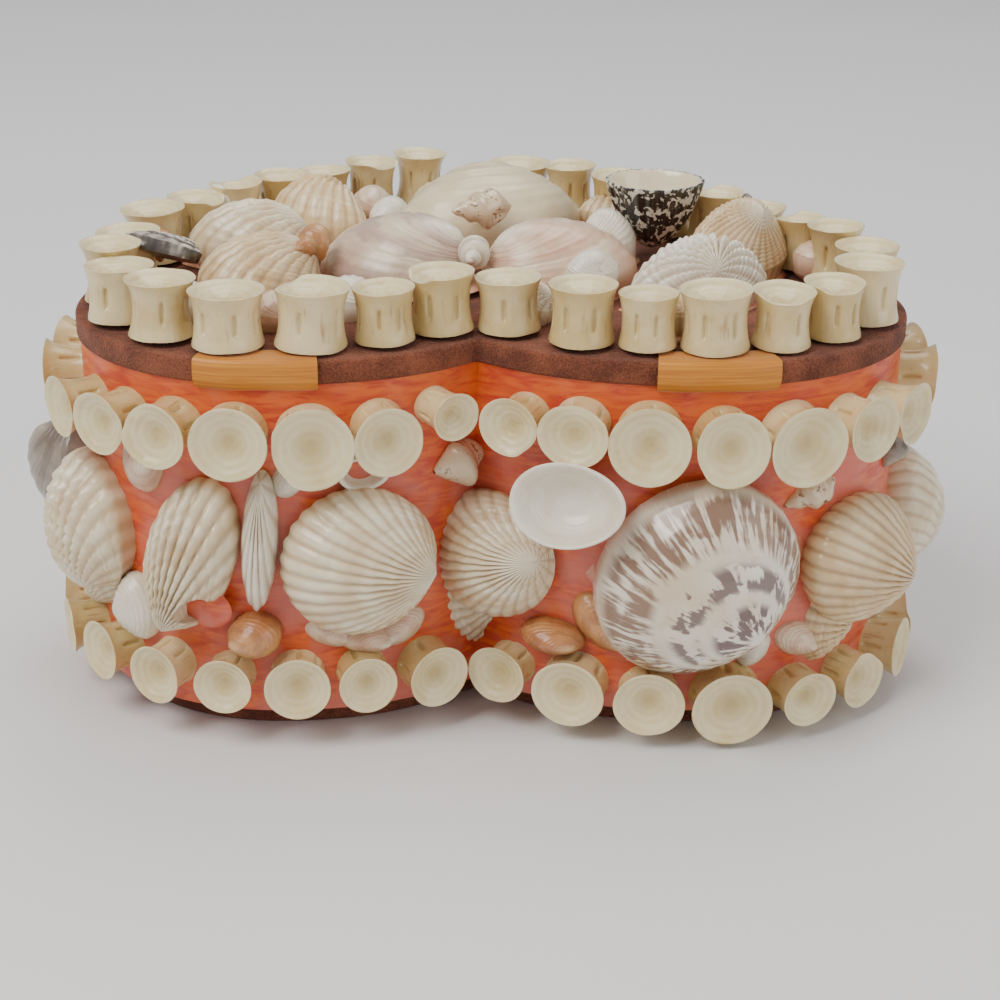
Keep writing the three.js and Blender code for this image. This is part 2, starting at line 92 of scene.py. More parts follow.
class Shade:
    """A socket in a recipe; sums on it add the nodes that work them out."""

    def __init__(self, recipe: "Recipe", socket: bpy.types.NodeSocket) -> None:
        """Keeps the recipe and the socket."""
        self.recipe = recipe
        self.socket = socket

    def maths(self, operation: str, *others: "Shade | float") -> "Shade":
        """One Math node.

        Args:
            operation: The node's operation.
            others: The second and third inputs.

        Returns:
            The node's result.
        """
        inputs = dict(enumerate((self, *others)))
        return self.recipe.node("ShaderNodeMath", {"operation": operation}, inputs)

    def __add__(self, other: "Shade | float") -> "Shade":
        """Sum."""
        return self.maths("ADD", other)

    __radd__ = __add__

    def __mul__(self, other: "Shade | float") -> "Shade":
        """Product."""
        return self.maths("MULTIPLY", other)

    __rmul__ = __mul__

    def __sub__(self, other: "Shade | float") -> "Shade":
        """Difference."""
        return self.maths("SUBTRACT", other)

    def __rsub__(self, other: float) -> "Shade":
        """Difference from a number."""
        return self * -1.0 + other

    def __pow__(self, power: float) -> "Shade":
        """Power."""
        return self.maths("POWER", power)

    def sine(self) -> "Shade":
        """Sine."""
        return self.maths("SINE")

    def step(self, low: float, high: float) -> "Shade":
        """Smooth step that is 0 at low and 1 at high.

        Args:
            low: Where the step starts.
            high: Where it ends, above low.

        Returns:
            The stepped value.
        """
        settings = {"interpolation_type": "SMOOTHSTEP"}
        inputs = {"Value": self, "From Min": low, "From Max": high}
        return self.recipe.node("ShaderNodeMapRange", settings, inputs)


class Recipe:
    """A material's nodes, laid down one by one."""

    def __init__(self, name: str) -> None:
        """Starts an empty material."""
        self.material = bpy.data.materials.new(name)
        self.material.use_nodes = True
        self.tree = self.material.node_tree
        self.tree.nodes.clear()

    def node(self, kind: str, settings: dict, inputs: dict, output: int | str = 0) -> Shade:
        """Adds a node.

        Args:
            kind: The node's type.
            settings: Its properties; "stops" are the stops of a ramp.
            inputs: Values or shades by socket name or number.
            output: The socket that is wanted.

        Returns:
            That socket as a shade.
        """
        made = self.tree.nodes.new(kind)
        for key, value in settings.items():
            if key == "stops":
                self.set_stops(made.color_ramp, value)
            else:
                setattr(made, key, value)
        for key, value in inputs.items():
            if isinstance(value, Shade):
                self.tree.links.new(value.socket, made.inputs[key])
            else:
                made.inputs[key].default_value = value
        return Shade(self, made.outputs[output])

    @staticmethod
    def set_stops(ramp: bpy.types.ColorRamp, stops: Sequence[tuple[float, Colour]]) -> None:
        """Gives a ramp its stops."""
        while len(ramp.elements) < len(stops):
            ramp.elements.new(0.5)
        for element, (place, colour) in zip(ramp.elements, stops):
            element.position = place
            element.color = colour

    def attribute(self, name: str, output: str = "Fac") -> Shade:
        """A value that the mesh carries."""
        return self.node("ShaderNodeAttribute", {"attribute_name": name}, {}, output)

    def part(self, vector: Shade, number: int) -> Shade:
        """One part of a vector."""
        return self.node("ShaderNodeSeparateXYZ", {}, {0: vector}, number)

    def stretch(self, vector: Shade, scale: tuple[float, float, float]) -> Shade:
        """A vector stretched by a scale."""
        return self.node("ShaderNodeVectorMath", {"operation": "MULTIPLY"}, {0: vector, 1: scale})

    def place(self) -> Shade:
        """Object coordinates in millimetres."""
        where = self.node("ShaderNodeTexCoord", {}, {}, "Object")
        return self.stretch(where, (1 / MM, 1 / MM, 1 / MM))

    def noise(self, where: Shade, scale: float, detail: float = 3.0, warp: float = 0.0) -> Shade:
        """Soft noise from 0 to 1."""
        inputs = {"Vector": where, "Scale": scale, "Detail": detail, "Distortion": warp}
        return self.node("ShaderNodeTexNoise", {}, inputs)

    def mix(self, share: Shade | float, first: Shade | Colour, second: Shade | Colour) -> Shade:
        """Colour between two colours."""
        settings = {"data_type": "RGBA", "clamp_factor": True}
        return self.node("ShaderNodeMix", settings, {0: share, 6: first, 7: second}, 2)

    def bump(self, height: Shade, strength: float, reach: float, under: Shade | None = None) -> Shade:
        """Relief from a height, over another relief where one is given.

        Args:
            height: The height, about 0 to 1.
            strength: How much of the relief shows.
            reach: The height of 1, in millimetres.
            under: The relief that this one lies on.

        Returns:
            The normal.
        """
        inputs = {"Height": height, "Strength": strength, "Distance": reach * MM}
        if under is not None:
            inputs["Normal"] = under
        return self.node("ShaderNodeBump", {}, inputs)

    def finish(self, **sockets: Shade | Colour | float) -> bpy.types.Material:
        """Ends the recipe.

        Args:
            sockets: The surface shader's sockets, with underscores for spaces.

        Returns:
            The material.
        """
        inputs = {key.replace("_", " "): value for key, value in sockets.items()}
        surface = self.node("ShaderNodeBsdfPrincipled", {}, inputs)
        output = self.tree.nodes.new("ShaderNodeOutputMaterial")
        self.tree.links.new(surface.socket, output.inputs["Surface"])
        return self.material


# ---- Finishes -------------------------------------------------------------------------------------


@dataclass(frozen=True)
class BoneFinish:
    """Cream bone under clear varnish, whiter in the cups and stained along the waist."""

    name: str = "varnished_bone"
    pale: Colour = tone(230, 212, 164)
    straw: Colour = tone(208, 182, 122)
    stain: Colour = tone(158, 112, 62)
    chalk: Colour = tone(230, 216, 172)
    core: Colour = tone(196, 174, 118)

    def material(self) -> bpy.types.Material:
        """Lays down the recipe."""
        r = Recipe(self.name)
        form = r.attribute("form", "Vector")
        cup = r.attribute("cup")
        tint = r.attribute("tint")
        x, y, along = (r.part(form, number) for number in range(3))
        radius = (x * x + y * y) ** 0.5
        cloud = r.noise(r.place(), 0.22, 3.0)
        fibre = r.noise(r.stretch(form, (1.0, 1.0, 0.16)), 7.0, 4.0, 0.4)
        waist = 1.0 - (along - 0.5).maths("ABSOLUTE").step(0.12, 0.42)
        side = r.mix((cloud + tint * 0.45).step(0.38, 0.95), self.pale, self.straw)
        side = r.mix((fibre * 1.3 + cloud * 0.4).step(0.92, 1.25) * waist * 0.75, side, self.stain)
        ring = (radius * 30.0 + cloud * 5.0).sine() * 0.5 + 0.5
        dish = r.mix(radius.step(0.02, 0.62), self.core, self.chalk)
        dish = r.mix(ring * 0.26 + cloud.step(0.42, 0.75) * 0.45, dish, self.straw)
        colour = r.mix(cup, side, dish)
        relief = r.bump(fibre, 0.35, 0.35)
        relief = r.bump(ring * cup, 0.3, 0.25, relief)
        rough = r.noise(r.place(), 0.9, 2.0) * 0.22 + 0.2
        return r.finish(Base_Color=colour, Roughness=rough, Normal=relief, Coat_Weight=0.45, Coat_Roughness=0.08)


@dataclass(frozen=True)
class ShellFinish:
    """Shell under varnish, with its own ground, band and beak colours, and painted shade in the grooves between
    its ribs.
    """

    name: str
    pale: Colour = tone(236, 226, 198)
    warm: Colour = tone(222, 202, 164)
    groove_shade: Colour = tone(176, 142, 98)
    band: Colour = tone(206, 176, 132)
    beak: Colour = tone(240, 232, 212)
    bands: float = 0.35
    lines: float = 90.0
    gloss: float = 0.45

    def material(self) -> bpy.types.Material:
        """Lays down the recipe."""
        r = Recipe(self.name)
        growth = r.attribute("growth", "Vector")
        rib = r.attribute("rib")
        age = r.part(growth, 2)
        cloud = r.noise(r.place(), 0.16, 3.0)
        wander = r.noise(growth, 2.6, 2.0)
        ground = r.mix(cloud.step(0.35, 0.72), self.pale, self.warm)
        stripe = (age * 17.0 + wander * 7.0).sine() * 0.5 + 0.5
        ground = r.mix(stripe.step(0.35, 0.95) * self.bands, ground, self.band)
        ground = r.mix((1.0 - age.step(0.02, 0.42)) * 0.8, ground, self.beak)
        # Painted shade: the groove colour darkens the grooves between ribs, the gaps between beads and a snail's
        # spiral and mouth.
        colour = r.mix((1.0 - rib).step(0.35, 1.0) * 0.55, ground, self.groove_shade)
        line = (age * self.lines + wander * 4.0).sine() * 0.5 + 0.5
        relief = r.bump(line, 0.4, 0.14)
        relief = r.bump(r.noise(r.place(), 1.6, 3.0), 0.18, 0.25, relief)
        rough = r.noise(r.place(), 0.7, 2.0) * 0.25 + 0.22
        return r.finish(
            Base_Color=colour, Roughness=rough, Normal=relief, Coat_Weight=self.gloss, Coat_Roughness=0.1
        )


@dataclass(frozen=True)
class BlotchedFinish:
    """White clam with purple-brown rays near its edge and dark patches near its beak."""

    name: str = "blotched_clam"
    ground: Colour = tone(233, 224, 208)
    cream: Colour = tone(214, 194, 164)
    ray: Colour = tone(126, 88, 62)
    patch: Colour = tone(92, 62, 62)

    def material(self) -> bpy.types.Material:
        """Lays down the recipe."""
        r = Recipe(self.name)
        growth = r.attribute("growth", "Vector")
        x, y, age = (r.part(growth, number) for number in range(3))
        turn = x.maths("ARCTAN2", y)
        polar = r.node("ShaderNodeCombineXYZ", {}, {0: turn * 9.0, 1: age * 2.4, 2: 0.0})
        blocks = r.node("ShaderNodeCombineXYZ", {}, {0: turn * 1.5, 1: age * 4.6, 2: 3.0})
        rays = r.noise(polar, 1.6, 3.0)
        chunks = r.noise(blocks, 1.7, 2.0, 0.5)
        cloud = r.noise(r.place(), 0.12, 3.0)
        colour = r.mix(cloud.step(0.4, 0.75), self.ground, self.cream)
        outer = age.step(0.62, 0.7) * (1.0 - age.step(0.9, 0.97))
        middle = age.step(0.36, 0.42) * (1.0 - age.step(0.52, 0.6))
        inner = age.step(0.06, 0.12) * (1.0 - age.step(0.26, 0.34))
        colour = r.mix(outer * (rays + chunks * 0.5).step(0.64, 0.8) * 0.9, colour, self.ray)
        colour = r.mix(middle * (chunks + rays * 0.35).step(0.64, 0.71) * 0.85, colour, self.patch)
        colour = r.mix(inner * (chunks + rays * 0.2).step(0.56, 0.62) * 0.92, colour, self.patch)
        line = (age * 120.0 + cloud * 6.0).sine() * 0.5 + 0.5
        relief = r.bump(line, 0.16, 0.12)
        return r.finish(
            Base_Color=colour, Roughness=rays * 0.15 + 0.18, Normal=relief, Coat_Weight=0.6, Coat_Roughness=0.06
        )


@dataclass(frozen=True)
class SpeckledFinish:
    """Shell with spots over its outside and a plain inside."""

    name: str
    ground: Colour
    spot: Colour
    inside: Colour
    scale: float
    cover: float

    def material(self) -> bpy.types.Material:
        """Lays down the recipe."""
        r = Recipe(self.name)
        within = r.attribute("rib")
        coarse = r.noise(r.place(), self.scale, 3.0, 1.2)
        fine = r.noise(r.place(), self.scale * 2.6, 2.0)
        mask = (coarse * 0.8 + fine * 0.3).step(self.cover, self.cover + 0.05)
        colour = r.mix(mask, self.ground, self.spot)
        colour = r.mix(within, colour, self.inside)
        relief = r.bump(coarse, 0.2, 0.3)
        return r.finish(
            Base_Color=colour, Roughness=fine * 0.2 + 0.14, Normal=relief, Coat_Weight=0.7, Coat_Roughness=0.05
        )


@dataclass(frozen=True)
class FeltFinish:
    """Reddish-brown flocked paper with worn, lighter fibres."""

    name: str = "flocked_paper"
    dark: Colour = tone(96, 46, 28)
    light: Colour = tone(146, 82, 54)

    def material(self) -> bpy.types.Material:
        """Lays down the recipe."""
        r = Recipe(self.name)
        fuzz = r.noise(r.place(), 3.2, 5.0)
        patch = r.noise(r.place(), 0.22, 3.0)
        colour = r.mix((fuzz * 0.6 + patch * 0.6).step(0.45, 0.82), self.dark, self.light)
        relief = r.bump(fuzz, 0.9, 0.5)
        return r.finish(
            Base_Color=colour, Roughness=0.95, Normal=relief, Sheen_Weight=0.1, Sheen_Roughness=0.5
        )


@dataclass(frozen=True)
class CardFinish:
    """Streaky orange-red paper, pinker where glue has soaked it."""

    name: str = "orange_card"
    orange: Colour = tone(226, 104, 42)
    red: Colour = tone(196, 62, 38)
    soaked: Colour = tone(208, 110, 92)

    def material(self) -> bpy.types.Material:
        """Lays down the recipe."""
        r = Recipe(self.name)
        height = r.part(r.place(), 2)
        streak = r.noise(r.stretch(r.place(), (0.5, 0.5, 2.2)), 0.35, 4.0, 1.0)
        cloud = r.noise(r.place(), 0.14, 2.0)
        colour = r.mix(streak.step(0.35, 0.68), self.orange, self.red)
        low = 1.0 - height.step(40.0, 50.0)
        colour = r.mix(low * cloud.step(0.38, 0.6) * 0.8, colour, self.soaked)
        relief = r.bump(streak, 0.3, 0.3)
        return r.finish(
            Base_Color=colour, Roughness=streak * 0.3 + 0.3, Normal=relief, Coat_Weight=0.25, Coat_Roughness=0.2
        )


@dataclass(frozen=True)
class SatinFinish:
    """Mustard satin ribbon with threads across and painted sheen streaks along, lighter and darker."""

    name: str = "mustard_satin"
    gold: Colour = tone(212, 140, 46)
    shadow: Colour = tone(188, 114, 32)

    def material(self) -> bpy.types.Material:
        """Lays down the recipe."""
        r = Recipe(self.name)
        weave = r.attribute("weave", "Vector")
        across, along = r.part(weave, 0), r.part(weave, 1)
        streak = r.noise(r.stretch(weave, (0.05, 2.2, 1.0)), 1.6, 2.0)
        # Painted sheen: streaks of light and shade like those satin shows, laid into the colour.
        colour = r.mix(streak.step(0.32, 0.7), self.gold, self.shadow)
        thread = (along * 42.0).sine() * 0.5 + 0.5
        cross = (across * 42.0).sine() * 0.5 + 0.5
        relief = r.bump(thread * 0.7 + cross * 0.3, 0.25, 0.08)
        return r.finish(
            Base_Color=colour, Roughness=streak * 0.2 + 0.32, Normal=relief, Sheen_Weight=0.4, Sheen_Roughness=0.3
        )


@dataclass(frozen=True)
class GlueFinish:
    """Set glue, clear and yellowed over the red card."""

    name: str = "set_glue"
    clear: Colour = tone(214, 132, 104)
    cloudy: Colour = tone(226, 178, 140)

    def material(self) -> bpy.types.Material:
        """Lays down the recipe."""
        r = Recipe(self.name)
        cloud = r.noise(r.place(), 0.35, 3.0, 0.6)
        colour = r.mix(cloud.step(0.4, 0.7), self.clear, self.cloudy)
        relief = r.bump(cloud, 0.5, 0.8)
        return r.finish(Base_Color=colour, Roughness=cloud * 0.2 + 0.15, Normal=relief, Coat_Weight=0.4)


# ---- Hand tools -----------------------------------------------------------------------------------


@contextmanager
def editing(obj: bpy.types.Object) -> Iterator[None]:
    """Edit mode on one object alone, with nothing in it selected.

    Args:
        obj: The object to edit.
    """
    bpy.ops.object.select_all(action="DESELECT")
    bpy.context.view_layer.objects.active = obj
    obj.select_set(True)
    bpy.ops.object.mode_set(mode="EDIT")
    bpy.ops.mesh.select_all(action="DESELECT")
    yield
    bpy.ops.object.mode_set(mode="OBJECT")


def pick(obj: bpy.types.Object, mode: str, test: Callable[[Vector, Vector], bool]) -> None:
    """Selects what passes a test, in edit mode.

    Args:
        obj: The object in edit mode.
        mode: "FACE" or "VERT".
        test: Takes a middle and a normal.
    """
    bpy.ops.mesh.select_mode(type=mode)
    bpy.ops.mesh.select_all(action="DESELECT")
    mesh = bmesh.from_edit_mesh(obj.data)
    for item in mesh.faces if mode == "FACE" else mesh.verts:
        middle = item.calc_center_median() if mode == "FACE" else item.co
        if test(middle, item.normal):
            item.select_set(True)
    mesh.select_flush_mode()
    bmesh.update_edit_mesh(obj.data)


def primitive(make: Callable[..., set], **sizes: object) -> bpy.types.Object:
    """Adds a primitive with nothing else selected."""
    bpy.ops.object.select_all(action="DESELECT")
    make(**sizes)
    return bpy.context.object


def modify(obj: bpy.types.Object, kind: str, **settings: object) -> None:
    """Adds a modifier and applies it."""
    modifier = obj.modifiers.new(kind.lower(), kind)
    for key, value in settings.items():
        setattr(modifier, key, value)
    bpy.context.view_layer.objects.active = obj
    bpy.ops.object.modifier_apply(modifier=modifier.name)


def corners(obj: bpy.types.Object) -> np.ndarray:
    """The places of an object's corners."""
    places = np.empty(len(obj.data.vertices) * 3, np.float32)
    obj.data.vertices.foreach_get("co", places)
    return places.reshape(-1, 3).astype(float)


def move_corners(obj: bpy.types.Object, places: np.ndarray) -> None:
    """Puts an object's corners at new places."""
    obj.data.vertices.foreach_set("co", places.astype(np.float32).ravel())
    obj.data.update()


def store(obj: bpy.types.Object, name: str, values: np.ndarray) -> None:
    """Keeps a value or a vector for every corner."""
    vector = values.ndim == 2
    layer = obj.data.attributes.new(name, "FLOAT_VECTOR" if vector else "FLOAT", "POINT")
    layer.data.foreach_set("vector" if vector else "value", values.astype(np.float32).ravel())


def copy_of(master: bpy.types.Object, matrix: Matrix) -> bpy.types.Object:
    """A copy with a mesh of its own, moved by a matrix."""
    twin = bpy.data.objects.new(master.name, master.data.copy())
    twin.data.transform(matrix)
    bpy.context.collection.objects.link(twin)
    return twin


def joined(parts: Sequence[bpy.types.Object]) -> bpy.types.Object:
    """Several objects made one."""
    bpy.ops.object.select_all(action="DESELECT")
    for part in parts:
        part.select_set(True)
    bpy.context.view_layer.objects.active = parts[0]
    if len(parts) > 1:
        bpy.ops.object.join()
    return parts[0]


def smooth(obj: bpy.types.Object, angle: float = 50.0) -> None:
    """Smooth shading up to an angle in degrees."""
    bpy.ops.object.select_all(action="DESELECT")
    obj.select_set(True)
    bpy.context.view_layer.objects.active = obj
    bpy.ops.object.shade_smooth_by_angle(angle=math.radians(angle))


def spun(profile: Sequence[tuple[float, float]], sides: int) -> bpy.types.Object:
    """A profile of (radius, height) spun about Z into a closed body.

    Args:
        profile: From the axis out and back to it.
        sides: The number of steps in a turn.

    Returns:
        The body.
    """
    mesh = bpy.data.meshes.new("spun")
    edges = [(i, i + 1) for i in range(len(profile) - 1)]
    mesh.from_pydata([(radius, 0.0, height) for radius, height in profile], edges, [])
    obj = bpy.data.objects.new("spun", mesh)
    bpy.context.collection.objects.link(obj)
    with editing(obj):
        bpy.ops.mesh.select_all(action="SELECT")
        bpy.ops.mesh.spin(steps=sides, angle=2 * math.pi, center=(0, 0, 0), axis=(0, 0, 1))
        bpy.ops.mesh.select_all(action="SELECT")
        bpy.ops.mesh.remove_doubles(threshold=1e-4)
        bpy.ops.mesh.normals_make_consistent(inside=False)
    return obj


def settle(
    obj: bpy.types.Object, name: str, material: bpy.types.Material, slot: str, body: str, *nodes: str
) -> None:
    """Names, dresses and mounts a finished piece.

    Args:
        obj: The piece, with its place in its mesh.
        name: Its name.
        material: Its finish.
        slot: The slot its finish belongs to; not used.
        body: The body it moves with, or an empty word to leave it unmounted.
        nodes: The solids it stands for.
    """
    obj.name = obj.data.name = name
    obj.data.materials.clear()
    obj.data.materials.append(material)
    if nodes:
        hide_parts(*nodes)
    if body:
        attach(obj, body)
    LOG.info("%s: %d faces", name, len(obj.data.polygons))


# ---- The heart ------------------------------------------------------------------------------------


@dataclass(frozen=True)
class HeartOutline:
    """The heart's plan, in millimetres."""

    half_width: float = 63.0
    lobe: tuple[float, float] = (31.0, -46.0)
    side_y: float = -18.0
    notch_y: float = -35.5
    notch_slope: float = math.radians(42)
    notch_round: float = 12.0
    point_y: float = 45.5
    point_round: float = 15.0
    flank_rounds: tuple[float, float] = (35.0, 25.0)
    handle: float = 0.56
    lean: float = 2.5

    def half(self, side: int) -> list[list[Vector]]:
        """The curves of one half.

        Args:
            side: 1 for the right half, -1 for the left.

        Returns:
            Four control points for each curve, from notch to point.
        """

        def leant(x: float, y: float) -> Vector:
            """A point of this half, leaning a little to the left."""
            return Vector((side * x - self.lean * (1 - x / self.half_width), y, 0.0))

        lobe_x, lobe_y = self.lobe
        wide, handle = self.half_width, self.handle
        dip = self.notch_round * math.sin(self.notch_slope)
        flank = self.flank_rounds[side > 0]
        top, edge, tip = leant(lobe_x, lobe_y), leant(wide, self.side_y), leant(0, self.point_y)
        return [
            [
                leant(0, self.notch_y),
                leant(self.notch_round * math.cos(self.notch_slope), self.notch_y - dip),
                leant(lobe_x * (1 - 0.6 * handle), lobe_y),
                top,
            ],
            [
                top,
                leant(lobe_x + handle * (wide - lobe_x), lobe_y),
                leant(wide, self.side_y - handle * (self.side_y - lobe_y)),
                edge,
            ],
            [edge, leant(wide, self.side_y + flank), leant(self.point_round, self.point_y), tip],
        ]

    def ring(self, inset: float, count: int) -> np.ndarray:
        """Points round the heart, counter-clockwise from the notch.

        Args:
            inset: How far they are moved in.
            count: How many there are.

        Returns:
            One row of x and y for each point.
        """
        curves = self.half(1) + [curve[::-1] for curve in reversed(self.half(-1))]
        dense = np.array([p[:2] for curve in curves for p in interpolate_bezier(*curve, 300)[:-1]])
        dense = np.vstack([dense, dense[:1]])
        marks = np.concatenate([[0], np.cumsum(np.linalg.norm(np.diff(dense, axis=0), axis=1))])
        places = np.arange(count) * marks[-1] / count
        edge = np.stack([np.interp(places, marks, dense[:, axis]) for axis in (0, 1)], axis=1)
        along = np.roll(edge, -1, axis=0) - np.roll(edge, 1, axis=0)
        along /= np.linalg.norm(along, axis=1, keepdims=True)
        return edge + inset * np.stack([-along[:, 1], along[:, 0]], axis=1)


HEART = HeartOutline()


class HeartPath:
    """A way round the heart, measured in millimetres from the notch."""

    def __init__(self, inset: float) -> None:
        """Lays the way at an inset from the lid's edge."""
        points = HEART.ring(inset, 1440)
        self.points = np.vstack([points, points[:1]])
        steps = np.linalg.norm(np.diff(self.points, axis=0), axis=1)
        self.marks = np.concatenate([[0], np.cumsum(steps)])

    def at(self, distance: float) -> Vector:
        """The plan point at a distance."""
        wrapped = distance % self.marks[-1]
        return Vector([np.interp(wrapped, self.marks, self.points[:, axis]) for axis in (0, 1)])

    def station(self, distance: float, z: float, out: float = 0.0) -> tuple[Vector, Vector, Vector]:
        """A point on the way and the directions there.

        Args:
            distance: How far along.
            z: The point's height.
            out: How far it stands out.

        Returns:
            The point, the direction along and the direction out.
        """
        tangent = (self.at(distance + 3) - self.at(distance - 3)).normalized()
        outward = Vector((tangent.y, -tangent.x, 0.0))
        point = Vector((*self.at(distance), z)) + outward * out
        return point, Vector((*tangent, 0.0)), outward


WALL_PATH, LID_PATH, LID_ROW_PATH = HeartPath(3.0), HeartPath(0.0), HeartPath(5.6)


def basis(x: Vector, y: Vector, z: Vector, place: Vector) -> Matrix:
    """Millimetres in a frame to metres in the box's own frame."""
    turn = Matrix((x, y, z)).transposed().to_4x4()
    return Matrix.Scale(MM, 4) @ Matrix.Translation(place) @ turn


def wall_frame(distance: float, z: float, out: float) -> Matrix:
    """Frame with x along the wall, y up and z out."""
    point, along, outward = WALL_PATH.station(distance, z, out)
    return basis(along, UP, outward, point)


def lid_frame(x: float, y: float, z: float, tip_x: float = 0.0, tip_y: float = 0.0) -> Matrix:
    """Frame on the lid, tipped by degrees about X and Y."""
    tip = Euler((math.radians(tip_x), math.radians(tip_y), 0.0)).to_matrix().to_4x4()
    return Matrix.Scale(MM, 4) @ Matrix.Translation((x, y, z)) @ tip


# ---- Boards, wall and ribbons ---------------------------------------------------------------------


@dataclass
class CardWork:
    """The heart's boards and its hollow wall."""

    felt: bpy.types.Material
    card: bpy.types.Material
    points: int = 200
    base: tuple[float, float, float] = (4.0, 0.0, 4.0)
    lid: tuple[float, float, float] = (0.0, 56.0, 59.5)
    wall: tuple[float, float, float] = (3.0, 4.0, 56.0)
    wall_thickness: float = 2.5

    def outline(self, inset: float, z: float, fill: str) -> bpy.types.Object:
        """A heart-shaped ring or sheet at a height."""
        add = bpy.ops.mesh.primitive_circle_add
        obj = primitive(add, vertices=self.points, radius=1.0, fill_type=fill)
        ring = HEART.ring(inset, self.points)
        move_corners(obj, np.column_stack([ring, np.full(self.points, z)]) * MM)
        return obj

    def board(self, sizes: tuple[float, float, float]) -> bpy.types.Object:
        """A board with rounded edges.

        Args:
            sizes: Its inset, its underside and its top.

        Returns:
            The board.
        """
        inset, low, high = sizes
        obj = self.outline(inset, low, "NGON")
        with editing(obj):
            bpy.ops.mesh.select_all(action="SELECT")
            bpy.ops.mesh.extrude_region_move(TRANSFORM_OT_translate={"value": (0, 0, (high - low) * MM)})
            bpy.ops.mesh.select_all(action="SELECT")
            bpy.ops.mesh.normals_make_consistent(inside=False)
        modify(obj, "BEVEL", width=0.5 * MM, segments=3, limit_method="ANGLE", angle_limit=math.radians(60))
        smooth(obj, 60)
        return obj

    def hollow_wall(self) -> bpy.types.Object:
        """The wall, open at the top and bottom, with its real thickness."""
        inset, low, high = self.wall
        obj = self.outline(inset, low + 0.05, "NOTHING")
        with editing(obj):
            bpy.ops.mesh.select_all(action="SELECT")
            step = {"value": (0, 0, (high - low - 0.1) * MM)}
            bpy.ops.mesh.extrude_region_move(TRANSFORM_OT_translate=step)
            bpy.ops.mesh.select_all(action="SELECT")
            bpy.ops.mesh.normals_make_consistent(inside=False)
        normal = obj.data.polygons[0].normal
        outward = WALL_PATH.station(0.5, 0.0)[2]
        if normal.dot(outward) < 0:
            obj.data.flip_normals()
        modify(obj, "SOLIDIFY", thickness=self.wall_thickness * MM, offset=-1.0)
        smooth(obj, 40)
        return obj

    def build(self) -> None:
        """Builds and mounts the boards and the wall."""
        settle(self.board(self.base), "base_board_felt", self.felt, "felt", BOX, "base_board")
        settle(self.hollow_wall(), "box_wall_card", self.card, "card", BOX, "box_wall")
        settle(self.board(self.lid), "lid_board_felt", self.felt, "felt", LID, "lid_board")


@dataclass
class Ribbon:
    """A satin ribbon glued over the lid's edge and down the wall."""

    name: str
    middle: float
    satin: bpy.types.Material
    width: float = 17.4
    thickness: float = 0.35
    section: tuple[tuple[float, float], ...] = (
        (-4.5, 59.62),
        (-0.4, 59.72),
        (0.5, 59.6),
        (0.72, 58.6),
        (0.66, 56.6),
        (0.1, 55.6),
        (-1.4, 54.9),
        (-2.45, 54.0),
        (-2.55, 51.0),
        (-2.55, 44.0),
    )

    def build(self) -> None:
        """Lays the strip, thickens it and leaves it on neither box nor lid."""
        add = bpy.ops.mesh.primitive_grid_add
        obj = primitive(add, x_subdivisions=28, y_subdivisions=70, size=2.0)
        flat = corners(obj)
        across, down = flat[:, 0], (flat[:, 1] + 1) / 2
        section = np.array(self.section)
        marks = np.concatenate([[0], np.cumsum(np.linalg.norm(np.diff(section, axis=0), axis=1))])
        reach = down * marks[-1]
        out = np.interp(reach, marks, section[:, 0])
        height = np.interp(reach, marks, section[:, 1])
        fold = 0.12 * np.sin(across * 5.0 + self.middle) * np.sin(down * math.pi)
        places = np.empty_like(flat)
        for i, share in enumerate(across):
            distance = self.middle + share * self.width / 2
            places[i] = LID_PATH.station(distance, height[i], out[i] + fold[i])[0]
        move_corners(obj, places * MM)
        store(obj, "weave", np.column_stack([across * self.width / 2, reach, np.zeros_like(reach)]))
        normal = obj.data.polygons[len(obj.data.polygons) // 2].normal
        if normal.dot(LID_PATH.station(self.middle, 0.0)[2]) < 0:
            obj.data.flip_normals()
        modify(obj, "SOLIDIFY", thickness=self.thickness * MM, offset=0.0)
        smooth(obj, 60)
        settle(obj, self.name + "_satin", self.satin, "ribbon", "", self.name)
        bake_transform(obj)


# ---- Vertebrae ------------------------------------------------------------------------------------


